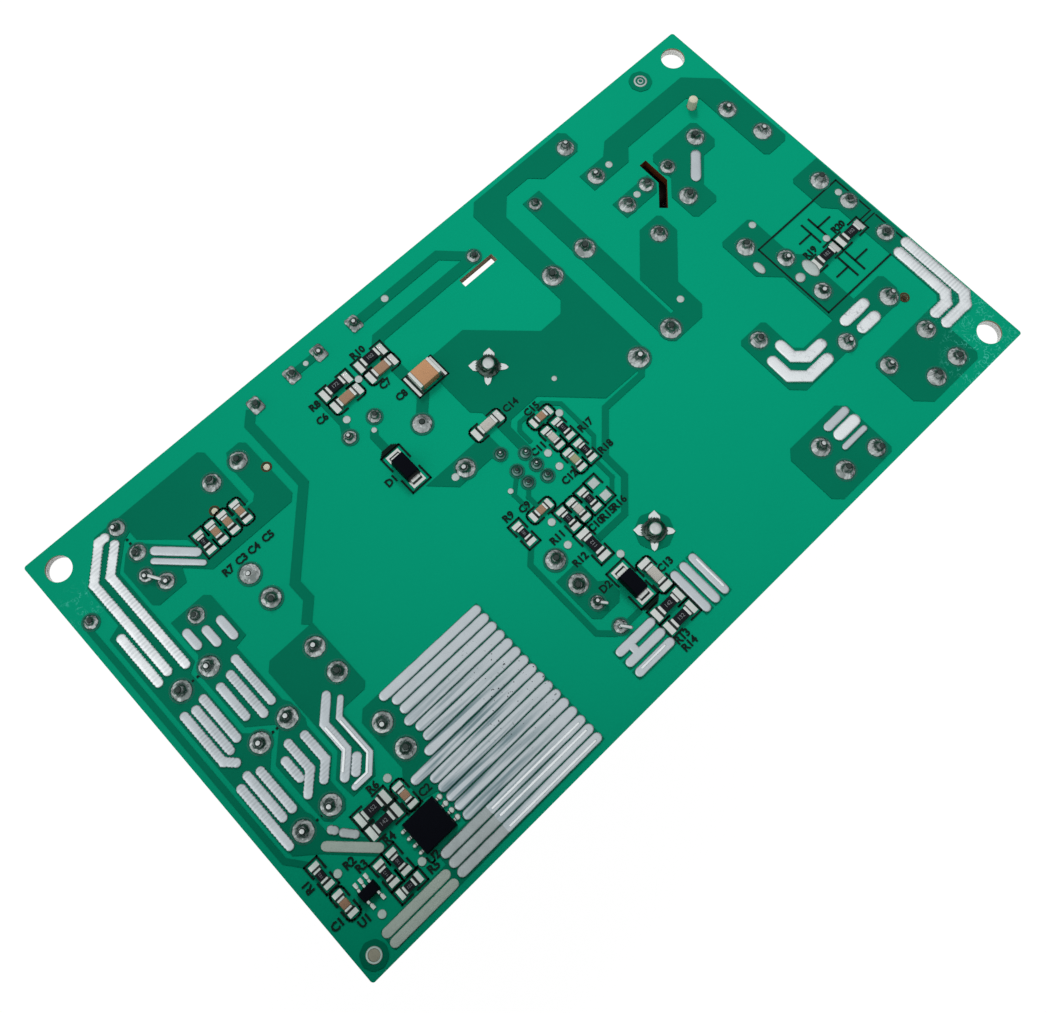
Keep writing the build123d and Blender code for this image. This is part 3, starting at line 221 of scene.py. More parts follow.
# %% Floor
floor_paint = plain_paint("pale_floor", (0.85, 0.85, 0.85))
tree = floor_paint.node_tree
feed(tree, tree.nodes["Principled BSDF"], {"Roughness": 0.8})
own_white = new_node(tree, "Emission", {"Color": (1, 1, 1, 1), "Strength": 1.04})
own_share = new_node(tree, "Math", {0: seen_by_camera(tree), 1: 0.95}, operation="MULTIPLY")
mix = new_node(tree, "MixShader", {
    0: own_share.outputs[0], 1: tree.nodes["Principled BSDF"].outputs[0], 2: own_white.outputs[0],
})
feed(tree, tree.nodes["Material Output"], {"Surface": mix.outputs[0]})
staged_sheet("pale_floor", (-1.5, -1.5), (1.5, 1.5), 0, floor_paint)
print("floor is in place")

# %% [markdown]
# Every finish here follows one plan: a principled shader whose colour drifts a little with a noise, whose
# gloss drifts with the same noise, and whose surface has a fine bump. Metal, plastic, glaze and laminate
# differ in the numbers. Noise on Object coordinates needs no unwrapping, and stays put on the piece. A
# blend lays one more colour over a finish, only where spots, curves, bands or the nearness of a place ask
# for it.

# %% Helpers for finishes


def new_finish(name, colour, rough, metal=0.0, drift=(0.12, 3.0), grain=(0.06, 0.15), specular=0.5):
    """A principled material whose drift and grain are each a strength and a size in millimetres."""
    paint = plain_paint(name, colour)
    tree = paint.node_tree
    place = new_node(tree, "TexCoord", {}, name="place").outputs["Object"]
    (shift, drift_mm), (depth, grain_mm) = drift, grain
    noise = new_node(tree, "TexNoise", {"Scale": 1 / (drift_mm * MM), "Detail": 4.0, "Vector": place})
    clouds = noise.outputs["Fac"]
    tint = new_node(tree, "Mix", {
        "A": (*[c * (1 - shift) for c in colour], 1),
        "B": (*[min(1.0, c * (1 + shift)) for c in colour], 1),
        "Factor": clouds,
    }, data_type="RGBA")
    gloss_limits = {"To Min": max(0.03, rough - 0.08), "To Max": min(1.0, rough + 0.08)}
    gloss = new_node(tree, "MapRange", {**gloss_limits, "Value": clouds})
    speckle = new_node(tree, "TexNoise", {"Scale": 1 / (grain_mm * MM), "Vector": place}, name="speckle")
    bump = new_node(tree, "Bump", {
        "Strength": depth, "Distance": grain_mm * MM, "Height": speckle.outputs["Fac"],
    })
    feed(tree, tree.nodes["Principled BSDF"], {
        "Metallic": metal, "Specular IOR Level": specular, "Base Color": tint.outputs["Result"],
        "Roughness": gloss.outputs["Result"], "Normal": bump.outputs["Normal"],
    })
    return paint


def place_of(paint):
    """The socket that holds the place on the board, in metres."""
    return paint.node_tree.nodes["place"].outputs["Object"]


def spots(paint, size_mm, least, most, stretch=(1, 1, 1)):
    """A socket that is 1 in scattered spots of about this size and 0 elsewhere."""
    tree = paint.node_tree
    turn = new_node(tree, "Mapping", {"Scale": stretch, "Vector": place_of(paint)}).outputs["Vector"]
    noise = new_node(tree, "TexNoise", {"Scale": 1 / (size_mm * MM), "Detail": 1.0, "Vector": turn})
    cut = new_node(tree, "MapRange", {"From Min": least, "From Max": most, "Value": noise.outputs["Fac"]})
    return cut.outputs["Result"]


def near(paint, centre, reach):
    """A socket that is 1 at centre and fades to 0 at reach, both in millimetres."""
    tree = paint.node_tree
    middle = Vector(centre) * MM
    away = new_node(tree, "VectorMath", {0: place_of(paint), 1: middle}, operation="DISTANCE")
    limits = {"From Min": reach * MM, "From Max": reach * MM * 0.4}
    return new_node(tree, "MapRange", {**limits, "Value": away.outputs["Value"]}).outputs["Result"]


def both(paint, first, second, operation="MULTIPLY"):
    """The result of a math node on two sockets or numbers."""
    return new_node(paint.node_tree, "Math", {0: first, 1: second}, operation=operation).outputs[0]


def curves(paint, size_mm, patch_mm, strength):
    """A socket that is high on thin curved lines, in scattered patches."""
    line_shape = both(paint, spots(paint, size_mm, 0.46, 0.50), spots(paint, size_mm, 0.54, 0.50))
    return both(paint, line_shape, both(paint, spots(paint, patch_mm, 0.44, 0.58), strength))


def blend_over(paint, colour, factor, *others):
    """Lays a colour over the finish where all the factors, sockets or numbers, are high."""
    tree = paint.node_tree
    shader = tree.nodes["Principled BSDF"]
    for other in others:
        factor = both(paint, factor, other)
    below = shader.inputs["Base Color"].links[0].from_socket
    over = new_node(tree, "Mix", {"Factor": factor, "A": below, "B": (*colour, 1)}, data_type="RGBA")
    feed(tree, shader, {"Base Color": over.outputs["Result"]})


def shade_bands(paint, pitch_mm, centre, reach, colour):
    """Lays soft bands of a darker colour across the way that the bars run, near a place: painted shade in the
    grooves of ripples.
    """
    bands = new_node(paint.node_tree, "TexWave", {
        "Scale": math.tau / 20 / (pitch_mm * MM), "Distortion": 1.2, "Detail Scale": 0.6,
        "Vector": place_of(paint),
    }, bands_direction="Y")
    patches = both(paint, spots(paint, 2.5, 0.30, 0.60), near(paint, centre, reach))
    blend_over(paint, colour, both(paint, bands.outputs["Fac"], 0.5), patches)


print("finishes can be made")

# %% [markdown]
# New pieces that follow a solid start from a copy of it. The copy's loose triangles are welded and its flat
# faces made whole, then its edges are bevelled. That keeps each piece exactly where the model has it. Round
# pieces are a half profile spun through a full turn, and bent leads and wedges are a side profile drawn out
# across.

# %% Helpers for pieces


def welded(node):
    """A CAD node's shape as a welded bmesh with whole flat faces."""
    shape = bmesh.new()
    shape.from_mesh(frame["nodes"][node].data)
    bmesh.ops.remove_doubles(shape, verts=shape.verts, dist=2e-6)
    bmesh.ops.dissolve_limit(
        shape, angle_limit=0.02, use_dissolve_boundaries=False, verts=shape.verts, edges=shape.edges,
        delimit=set())
    return shape


def soften(shape, width, segments=3, edges=None):
    """Rounds the shape's sharp edges, or only those given, by a width in millimetres."""
    sharp = edges or [e for e in shape.edges if e.is_manifold and e.calc_face_angle(0) > 0.3]
    bmesh.ops.bevel(
        shape, geom=sharp, offset=width * MM, offset_type="OFFSET", segments=segments, profile=0.5,
        affect="EDGES", clamp_overlap=True, material=-1)


def place_piece(name, shape, paints, replaced=(), sharp_angle=0.9):
    """Turns a bmesh into a finished piece that rides on the board."""
    mesh = mesh_of(name, shape)
    mesh.shade_smooth()
    mesh.set_sharp_from_angle(angle=sharp_angle)
    for paint in paints if isinstance(paints, list) else [paints]:
        mesh.materials.append(paint)
    piece = new_object(name, mesh)
    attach(piece, "root")
    if replaced:
        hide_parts(*replaced)
    print(name, len(mesh.polygons), "faces")


def place_soft(node, width, paint, segments=3, sharp_angle=0.9):
    """Places a copy of a CAD node with soft edges."""
    shape = welded(node)
    soften(shape, width, segments)
    place_piece(node + "_soft", shape, paint, [node], sharp_angle=sharp_angle)


def solids_of(node):
    """The lowest and highest corner of each solid in a CAD node, in millimetres, from left to right."""
    shape = welded(node)
    left = set(shape.verts)
    boxes = []
    while left:
        island = [left.pop()]
        for vert in island:
            for edge in vert.link_edges:
                other = edge.other_vert(vert)
                if other in left:
                    left.remove(other)
                    island.append(other)
        low = Vector([min(v.co[i] for v in island) for i in range(3)])
        high = Vector([max(v.co[i] for v in island) for i in range(3)])
        boxes.append((low / MM, high / MM))
    shape.free()
    return sorted(boxes, key=lambda box: (round(box[0].x, 1), round(box[0].y, 1)))


def spun(profile, steps=20):
    """A closed shape from a half profile of (radius, height) in millimetres."""
    shape = bmesh.new()
    points = [shape.verts.new((r * MM, 0, z * MM)) for r, z in profile]
    lines = [shape.edges.new(pair) for pair in zip(points, points[1:])]
    bmesh.ops.spin(
        shape, geom=points + lines, cent=(0, 0, 0), axis=(0, 0, 1), angle=math.tau, steps=steps,
        use_merge=True, use_duplicate=False)
    bmesh.ops.remove_doubles(shape, verts=shape.verts, dist=1e-6)
    bmesh.ops.recalc_face_normals(shape, faces=shape.faces)
    return shape


def drawn_out(side, width, round_edge):
    """A side profile of (along X, up) drawn out across by a width, all in millimetres, with soft edges."""
    shape = bmesh.new()
    face = shape.faces.new([shape.verts.new((x * MM, -width / 2 * MM, z * MM)) for x, z in side])
    grown = bmesh.ops.extrude_face_region(shape, geom=[face])["geom"]
    far_side = [item for item in grown if isinstance(item, bmesh.types.BMVert)]
    bmesh.ops.translate(shape, vec=(0, width * MM, 0), verts=far_side)
    bmesh.ops.recalc_face_normals(shape, faces=shape.faces)
    soften(shape, round_edge, 2)
    return shape


def merge_in(target, shape, move=Matrix()):
    """Adds a small shape to a large one at its place."""
    bmesh.ops.transform(shape, matrix=move, verts=shape.verts)
    mesh = mesh_of("carry", shape)
    target.from_mesh(mesh)
    bpy.data.meshes.remove(mesh)


def tipped(degrees, axis):
    """A turn about one of the axes."""
    return Matrix.Rotation(math.radians(degrees), 4, axis)


def at(x, y, z=0.0, turn=0.0):
    """A place in millimetres on the board, turned in degrees about the upright."""
    return Matrix.Translation((x * MM, y * MM, z * MM)) @ tipped(turn, "Z")


def block(target, low, high, round_edge=0.0, move=Matrix()):
    """Adds a box between two corners in millimetres, with rounded edges if asked."""
    shape = bmesh.new()
    bmesh.ops.create_cube(shape, size=MM)
    bmesh.ops.scale(shape, vec=[b - a for a, b in zip(low, high)], verts=shape.verts)
    bmesh.ops.translate(shape, vec=[(a + b) / 2 * MM for a, b in zip(low, high)], verts=shape.verts)
    if round_edge:
        soften(shape, round_edge)
    merge_in(target, shape, move)


def stroke(target, start, end, width, low, high):
    """A flat bar from start to end with half its width beyond each, between two heights."""
    run = Vector(end) - Vector(start)
    reach = run.length / 2 + width / 2
    middle = (Vector(start) + Vector(end)) / 2
    turn = math.degrees(math.atan2(run.y, run.x))
    block(target, (-reach, -width / 2, low), (reach, width / 2, high), 0, at(*middle, 0, turn))


def is_close(place, others, reach):
    """Whether a place lies nearer than a reach to one of the others, all in millimetres."""
    return min(math.dist(place, other) for other in others) < reach


print("pieces can be made")

# %% [markdown]
# The board is one sheet of laminate with solder mask on its solder side only. The mask is printed, so one
# material can carry both: faces that look up are mask green, and the cut edge and the far side are bare
# laminate. Dried flux near two corners is painted with pale curved flecks, painted highlights for the glints
# of the residue. The walls of the bent slot are painted dark brown, painted shade inside the narrow slot. The
# lower walls of the mounting holes are pale, because the bright sheet under the board shines into them.

# %% The board
board_paint = new_finish(
    "board_mask", (0.0, 0.286, 0.158), 0.45, drift=(0.05, 40.0), grain=(0.04, 0.5), specular=0.03)
# places of dried flux whose pale flecks are painted highlights for its glints
flux_glint_spots = [((67.0, -34.5, 31.6), 10.0), ((61.0, -39.0, 31.6), 7.0), ((-68.0, 29.5, 31.6), 4.0)]
board_low, board_high = box_mm("circuit_board")
mount_inset = 3.8
pale_below = 31.25  # the height up to which the holes' walls are pale
left, right = board_low.x + mount_inset, board_high.x - mount_inset
front, back = board_low.y + mount_inset, board_high.y - mount_inset
mount_holes = [(left, back, 31.0), (right, back, 31.0), (right, front, 31.0)]


def add_flux_glints(paint):
    """Pale curved flecks of dried flux, painted highlights for its glints, only near the listed flux places.
    """
    flecks = curves(paint, 0.7, 1.3, 0.5)
    for centre, reach in flux_glint_spots:
        blend_over(paint, (0.10, 0.60, 0.50), flecks, near(paint, centre, reach))


def within(paint, centre, reach):
    """A socket that is 1 all round a place and 0 elsewhere."""
    return both(paint, near(paint, centre, reach), 0.3, "GREATER_THAN")


def upward(paint, vector):
    """The upward share of a vector socket."""
    return new_node(paint.node_tree, "SeparateXYZ", {"Vector": vector}).outputs["Z"]


add_flux_glints(board_paint)
normal = new_node(board_paint.node_tree, "NewGeometry", {}).outputs["Normal"]
sideways = both(board_paint, upward(board_paint, normal), 0.5, "LESS_THAN")
blend_over(board_paint, (0.30, 0.245, 0.165), sideways)
# painted shade: the walls of the bent slot are painted dark brown, the shade inside the narrow slot
blend_over(board_paint, (0.120, 0.034, 0.012), sideways, within(board_paint, (47.0, 20.5, 31.0), 12.0))
low_down = both(board_paint, sideways, both(
    board_paint, upward(board_paint, place_of(board_paint)), pale_below * MM, "LESS_THAN"))
for hole in mount_holes:
    blend_over(board_paint, (0.85, 0.85, 0.83), low_down, within(board_paint, hole, 3.0))
board_slots = frame["nodes"]["circuit_board"].data.materials
board_slots.clear()
board_slots.append(board_paint)
print("mounting holes at", mount_holes)

# %% [markdown]
# Copper under solder mask shows as a darker green with soft, rounded corners, because etching rounds every
# corner. The copper's upright edges are bevelled in plan, and the top is left flat, so the light on it is
# even. Three hair-thin tracks that the solid leaves out are drawn here as flat strips.

# %% Masked copper
copper_paint = new_finish(
    "masked_copper", (0.0, 0.150, 0.083), 0.45, drift=(0.10, 25.0), grain=(0.04, 0.5), specular=0.03)
add_flux_glints(copper_paint)
copper = welded("copper_foil")
round_lands = [(-68.4, -37.5), (59.5, 36.9), (3.0, -21.9)]
land_reach = 4.2
fine_tracks = [
    [(4.4, -7.2), (4.4, -11.2), (2.4, -13.2)],
    [(-6.6, -1.0), (-8.8, -2.8), (-8.8, -6.6)],
    [(-5.8, -2.9), (-7.4, -4.6), (-7.4, -6.5)],
]


def upright_edges(on_land):
    """The copper's upright edges, either those of the round lands or the others."""
    upright = [e for e in copper.edges if abs(e.verts[0].co.z - e.verts[1].co.z) > 0.05 * MM]
    return [e for e in upright if is_close(e.verts[0].co.xy / MM, round_lands, land_reach) == on_land]


soften(copper, 1.2, 5, upright_edges(True))
soften(copper, 0.5, 4, upright_edges(False))
bmesh.ops.triangulate(copper, faces=[f for f in copper.faces if len(f.verts) > 4])
for k, (start, end) in enumerate([pair for track in fine_tracks for pair in zip(track, track[1:])]):
    # each stroke is a hair higher than the last, so that no two faces lie in one plane
    stroke(copper, start, end, 0.7, solder_mm, foil_mm + 0.002 * (k + 1))
place_piece("masked_copper", copper, copper_paint, ["copper_foil"], sharp_angle=0.5)

# %% [markdown]
# Where the mask leaves copper bare, solder freezes into a bar with round ends, steep sides and a crest that
# is nearly flat. Each bar is drawn as a row of cross sections along its run: a half super-ellipse, narrower
# and lower at the ends, and mitred where the run bends. The runs are the ones that the solid bars follow.
# Some bars froze in fine ripples, so every second section of theirs is a little lower and narrower.

# %% A helper for solder bars
chance = random.Random(5)
# how far out past a run's end, and the share of the width there
end_steps = [(1.0, 0.06), (0.96, 0.28), (0.80, 0.60), (0.45, 0.893)]
section = [math.radians(turn) for turn in range(-90, 91, 18)]
crest_power = 0.45
plain_step, ripple_step = 1.1, 0.27


def bead_knots(route, half, ripple, wander):
    """Place, way, share of width and share of height of each cross section along a route."""
    route = [Vector(point) for point in route]
    ways = [(end - start).normalized() for start, end in zip(route, route[1:])]
    knots = [(route[0] - ways[0] * half * away, ways[0], share, share ** 0.6) for away, share in end_steps]
    for k, way in enumerate(ways):
        bend_in = way.angle(ways[k - 1]) if k else 0.0
        bend_out = way.angle(ways[k + 1]) if k + 1 < len(ways) else 0.0
        first = half * math.tan(bend_in / 2) + (0.1 if k else 0.0)
        last = (route[k + 1] - route[k]).length - half * math.tan(bend_out / 2) - (0.1 if bend_out else 0.0)
        count = max(1, round((last - first) / (ripple_step if ripple else plain_step)))
        for i in range(count + 1):
            dip = 1 - ripple * (i % 2)
            place = route[k] + way * (first + (last - first) * i / count)
            knots.append((place, way, dip * chance.uniform(1 - wander, 1 + wander), dip))
        if bend_out:
            knots.append((route[k + 1], (way + ways[k + 1]).normalized(), 1 / math.cos(bend_out / 2), 1.0))
    knots += [(route[-1] + ways[-1] * half * away, ways[-1], share, share ** 0.6)
              for away, share in reversed(end_steps)]
    return knots


def beads(target, runs, width, height, ripple=0.0, wander=0.03, base=foil_mm - 0.02):
    """Adds solder beads along the runs to a bmesh."""
    for run in runs:
        shape = bmesh.new()
        rows = []
        for place, way, wide, tall in bead_knots(run, width / 2, ripple, wander):
            across = Vector((-way.y, way.x)) * wide * width / 2
            rows.append([
                shape.verts.new((*((place + across * math.sin(turn)) * MM),
                                 height * tall * max(0.0, math.cos(turn)) ** crest_power * MM))
                for turn in section])
        for row, after in zip(rows, rows[1:]):
            for i in range(len(section) - 1):
                shape.faces.new((row[i], row[i + 1], after[i + 1], after[i]))
        bmesh.ops.holes_fill(shape, edges=[e for e in shape.edges if e.is_boundary], sides=0)
        bmesh.ops.recalc_face_normals(shape, faces=shape.faces)
        merge_in(target, shape, at(0, 0, base))


print("a section has", len(section), "points")

# %% The runs of the bars
array_left = [
    -44.0, -43.0, -43.0, -43.7, -43.0, -43.1, -44.4, -48.6,
    -46.4, -46.4, -46.4, -46.4, -46.4, -52.2, -52.2, -52.2,
]
array_right, array_top, array_pitch = -25.4, -12.0, 1.73
array_rows = [(left, array_top - row * array_pitch) for row, left in enumerate(array_left)]
dull_ends = 3  # the last rows are painted grey, as painted shade, as far as dull_until
dull_until = -43.6
array_runs = [[(left, y), (array_right, y)] for left, y in array_rows[:-dull_ends]]
array_runs += [[(dull_until, y), (array_right, y)] for left, y in array_rows[-dull_ends:]]
grey_runs = [[(left, y), (dull_until, y)] for left, y in array_rows[-dull_ends:]]
rippled_runs = [
    [(-59.2, 35.3), (-60.3, 35.3), (-64.8, 30.6), (-64.8, 12.8)],
    [(-58.7, 33.4), (-62.2, 29.9), (-62.2, 11.8)],
    [(-66.8, 21.2), (-66.8, 12.4)],
]
faintly_rippled_runs = [
    [(-67.1, 5.8), (-67.1, -3.0), (-65.8, -4.4)],
    [(-65.3, 5.4), (-65.3, -2.4)], [(-63.5, 5.9), (-63.5, -1.7)], [(-67.6, -7.8), (-67.6, -18.4)],
    [(-65.8, -7.0), (-65.8, -14.8)], [(-64.0, -7.8), (-64.0, -14.8)], [(-60.6, 5.5), (-60.6, -0.2)],
    [(-58.4, 5.9), (-58.4, -1.7)], [(-56.4, 7.2), (-56.4, -1.0)], [(-60.5, -9.2), (-60.5, -12.3)],
    [(-58.6, -7.6), (-58.6, -12.4), (-61.1, -14.9)],
    [(-56.1, -8.3), (-56.1, -12.9), (-58.1, -14.9)],
    [(-52.6, -15.8), (-54.1, -17.3)],
]
plain_runs = [
    [(-59.2, 15.2), (-59.2, 12.7)], [(-56.8, 13.6), (-56.8, 11.1)], [(-54.3, 13.3), (-54.3, 10.2)],
    [(-50.1, -6.1), (-53.0, -9.0), (-53.0, -14.0), (-55.8, -16.8)],
    [(-54.9, 28.5), (-50.3, 23.9)], [(35.3, -29.1), (39.4, -29.1)],
    [(0.2, -29.0), (0.2, -35.7)], [(2.2, -29.0), (2.2, -35.7)], [(4.2, -29.0), (4.2, -35.7)],
    [(-14.1, -31.5), (-7.6, -31.5)], [(-14.1, -33.6), (-7.6, -33.6)], [(-14.1, -35.6), (-7.6, -35.6)],
]
thin_runs = [
    [(-48.8, -7.8), (-50.8, -9.8), (-50.8, -16.6), (-52.9, -18.8), (-55.6, -18.8)],
    [(-56.0, 27.3), (-50.6, 21.9)], [(34.8, -33.2), (39.4, -33.2)],
]
wide_plain_runs = [[(55.9, 19.9), (52.8, 16.9)]]
wide_runs = [
    [(37.2, -15.4), (37.2, -18.9), (39.6, -21.2), (44.1, -21.2)],
    [(40.2, -14.4), (40.2, -17.0), (42.0, -18.7), (45.2, -18.7)],
    [(51.3, -18.7), (55.8, -18.7)], [(52.4, -21.5), (55.4, -21.5)], [(35.7, -31.2), (39.3, -31.2)],
]
wide_rippled_runs = [
    [(69.6, -16.2), (69.6, -28.8), (68.1, -30.4), (63.3, -30.4)],
    [(67.3, -16.6), (67.3, -26.6), (66.0, -28.0), (63.3, -28.0)],
]
dull_runs = [
    [(-63.9, -22.1), (-58.6, -27.4)], [(-65.2, -36.6), (-54.2, -36.6)], [(-65.2, -38.3), (-54.2, -38.3)],
]
# Short blobs, and a bridge of solder between two bars
blobs = [[(-61.9, -20.9), (-61.6, -21.3)], [(-60.9, -22.4), (-59.8, -23.7)]]
bridges = [[(-12.2, -32.0), (-12.2, -33.1)]]
# Ridges of bright solder that stand on a bar, painted highlights along it
highlight_ridges = [
    [(-43.0, -36.1), (-25.9, -36.1)], [(-43.0, -38.1), (-25.9, -38.1)], [(-43.2, -34.6), (-26.0, -34.6)],
    [(-8.6, -35.4), (-13.4, -35.4)],
    [(-51.0, -10.4), (-51.0, -16.4), (-53.0, -18.5), (-55.2, -18.5)],
    [(-53.2, -9.6), (-53.2, -13.8), (-55.4, -16.0)],
    [(4.4, -29.6), (4.4, -35.2)],
]
print("bars in the array", len(array_rows))

# %% [markdown]
# The bars froze at different times, so they differ in gloss. Most are plain, those with thick ripples are
# bright, and the thin coats near the corner are dull. The ends of the last rows, nearest the shaded corner,
# are painted grey, painted shade. Each kind is one piece. Darker bands across the ripples are painted shade
# in their grooves, long dark streaks on the lower rows are painted reflections, and dark specks on the array
# are blended over the plain metal.

# %% Solder bars
bar_height = box_mm("solder_bars")[1].z - foil_mm
full, lower, higher = bar_height * 0.8, bar_height * 0.77, bar_height * 0.9

solder_paint = new_finish(
    "plain_solder", (0.58, 0.62, 0.645), 0.34, metal=1.0, drift=(0.10, 1.6), grain=(0.06, 0.5))
# painted shade: darker bands in the grooves of the ripples
shade_bands(solder_paint, 0.52, (-61, -4, 31.9), 19, (0.30, 0.33, 0.34))
# painted reflection: long dark streaks along the lower rows of the array
reflection_streaks = spots(solder_paint, 0.6, 0.42, 0.62, (0.05, 1, 1))
blend_over(solder_paint, (0.20, 0.28, 0.30), reflection_streaks, near(solder_paint, (-40, -27, 31.9), 14))
specks = spots(solder_paint, 0.42, 0.70, 0.73)
blend_over(solder_paint, (0.03, 0.035, 0.035), specks, near(solder_paint, (-29.5, -24, 31.9), 11))
bars = bmesh.new()
beads(bars, array_runs, 1.60, full)
beads(bars, plain_runs, 1.55, full)
beads(bars, faintly_rippled_runs, 1.6, full, ripple=0.13)
beads(bars, thin_runs, 1.1, full)
beads(bars, bridges, 1.4, full)
beads(bars, wide_plain_runs, 1.9, full)
place_piece("solder_bars_round", bars, solder_paint, ["solder_bars"], sharp_angle=1.2)

bright_paint = new_finish(
    "bright_solder", (0.91, 0.93, 0.95), 0.36, metal=1.0, drift=(0.08, 1.2), grain=(0.10, 0.4))
# painted shade: dark curved lines for the creases of wrinkles in the bright solder
wrinkle_shade = curves(bright_paint, 0.8, 1.5, 0.6)
blend_over(bright_paint, (0.30, 0.32, 0.34), wrinkle_shade, near(bright_paint, (48, -20, 31.9), 12))
# painted shade: darker bands in the grooves of the ripples
shade_bands(bright_paint, 0.60, (-63, 23, 31.9), 26, (0.44, 0.47, 0.49))
shade_bands(bright_paint, 0.60, (68, -22, 31.9), 14, (0.50, 0.53, 0.55))
bright_bars = bmesh.new()
beads(bright_bars, rippled_runs, 1.65, higher, ripple=0.14)
beads(bright_bars, wide_runs, 2.1, higher)
beads(bright_bars, wide_rippled_runs, 2.1, higher, ripple=0.10)
beads(bright_bars, highlight_ridges, 0.42, 0.20, wander=0.12, base=foil_mm + bar_height * 0.72)
place_piece("solder_bars_bright", bright_bars, bright_paint, sharp_angle=1.2)

# painted shade: grey solder for the bar ends and blobs near the bottom-left corner
shade_grey_paint = new_finish(
    "grey_solder_painted_shade", (0.38, 0.42, 0.42), 0.40, metal=0.95, drift=(0.22, 1.5), grain=(0.2, 0.4))
grey_bars = bmesh.new()
beads(grey_bars, grey_runs, 1.60, lower)
beads(grey_bars, blobs, 1.4, full, ripple=0.1)
place_piece("solder_bars_grey", grey_bars, shade_grey_paint, sharp_angle=1.2)

dull_paint = new_finish(
    "dull_solder", (0.36, 0.42, 0.37), 0.55, metal=0.6, drift=(0.20, 2.0), grain=(0.25, 0.3))
dull_bars = bmesh.new()
beads(dull_bars, dull_runs, 1.5, 0.16, wander=0.01)
place_piece("solder_bars_dull", dull_bars, dull_paint, sharp_angle=1.2)

# %% [markdown]
# A soldered lead looks like a small volcano: a nearly flat rim, then a hollow slope that climbs the lead,
# and the cut wire standing out of it. A half profile spun through a full turn gives that shape at once. The
# pad's size sets its foot, and a seeded chance gives each one a slightly different height and lean. Noise
# pushes the slope in and out a little, because solder never freezes quite round. The mask stands up as a
# thin lip round each pad, in a dark green that is partly the mask over copper and partly painted shadow round
# the joint. The solder carries painted light: its upper slope and the wire stubs are painted dark as painted
# reflections, save a bright top on about half of the stubs, dark and pale patches are painted reflections,
# and joints towards the right end of the board are painted lighter.

# %% Finishes of the joints
joint_paint = new_finish(
    "joint_solder", (0.37, 0.395, 0.385), 0.31, metal=1.0, drift=(0.6, 0.9), grain=(0.5, 0.9))
# painted light: the joints are painted lighter towards the right end of the board
lit_end = near(joint_paint, (66, 6, 32), 62)
blend_over(joint_paint, (0.66, 0.69, 0.68), lit_end, 0.45)
# painted reflections: scattered dark and pale patches on the solder
blend_over(joint_paint, (0.14, 0.17, 0.16), spots(joint_paint, 1.9, 0.52, 0.58), 0.55)
blend_over(joint_paint, (0.70, 0.73, 0.72), spots(joint_paint, 1.1, 0.56, 0.62), 0.6)
# painted reflection: the slope is painted darker as it climbs, as the dim room shows in it
painted_dark_slope = new_node(joint_paint.node_tree, "MapRange", {
    "From Min": (foil_mm + 0.32) * MM, "From Max": (foil_mm + 0.70) * MM,
    "Value": upward(joint_paint, place_of(joint_paint)),
})
blend_over(joint_paint, (0.10, 0.13, 0.12), painted_dark_slope.outputs["Result"], 0.75)
wire_paint = new_finish(
    "tinned_wire", (0.62, 0.64, 0.63), 0.25, metal=1.0, drift=(0.15, 0.8), grain=(0.1, 0.2))
# painted reflection: the wire stubs are painted dark
dark_stub_paint = new_finish(
    "stub_painted_dark", (0.035, 0.050, 0.045), 0.22, metal=0.7, drift=(0.3, 0.4), grain=(0.2, 0.3))
# dark mask green: on the lips it is partly the mask over copper and partly painted shadow round each joint
dark_mask_and_shadow_paint = new_finish("mask_lip", (0.0, 0.12, 0.075), 0.20, drift=(0.1, 2.0), specular=0.2)
teal_paint = new_finish(
    "thin_solder", (0.15, 0.27, 0.24), 0.27, metal=1.0, drift=(0.35, 0.7), grain=(0.15, 0.4))
print("joints shine from", round(foil_mm, 2), "mm up")

# %% Soldered leads
joints, wires, lips = bmesh.new(), bmesh.new(), bmesh.new()
flat_joints = [(-11.2, 16.1), (-47.0, 16.0), (-11.3, -28.8)]
slim_joints = [(-56.9, 35.3), (-56.9, 30.1)]
disc_row_y = 36.3  # the pads in this row are square
bent_leads = [
    [(-58.2, 26.4), (-56.9, 24.2)], [(-11.3, -23.8), (-10.4, -24.9)], [(-11.3, -28.8), (-10.4, -30.0)],
]
joint_steps = 48
lip_side = [
    (0.04, -0.08), (0.34, -0.08), (0.34, 0.01), (0.22, 0.05), (0.10, 0.055), (0.04, 0.02), (0.04, -0.08),
]


def uneven(shape, amount):
    """Pushes the points of an upright shape in and out by a noise that follows their place."""
    phase = chance.uniform(0, math.tau)
    for vert in shape.verts:
        angle = math.atan2(vert.co.y, vert.co.x)
        push = math.sin(2 * angle + phase) + 0.7 * math.sin(5 * angle + phase * 3)
        push += 0.4 * math.sin(9 * angle + phase)
        height = vert.co.z / MM
        if height > 0.12:
            vert.co.xy *= 1 + amount * push * min(1.0, height)


def square_up(shape, foot):
    """Draws the foot of a round shape out towards the corners of a pad that is longer along Y."""
    for vert in shape.verts:
        share = min(1.0, vert.co.xy.length / (foot * MM)) ** 3
        angle = math.atan2(vert.co.y, vert.co.x)
        corner = min(1.25, 1 / max(abs(math.cos(angle)), abs(math.sin(angle))))
        vert.co.x *= 1 + share * (corner * 0.86 - 1)
        vert.co.y *= 1 + share * (corner * 1.08 - 1)


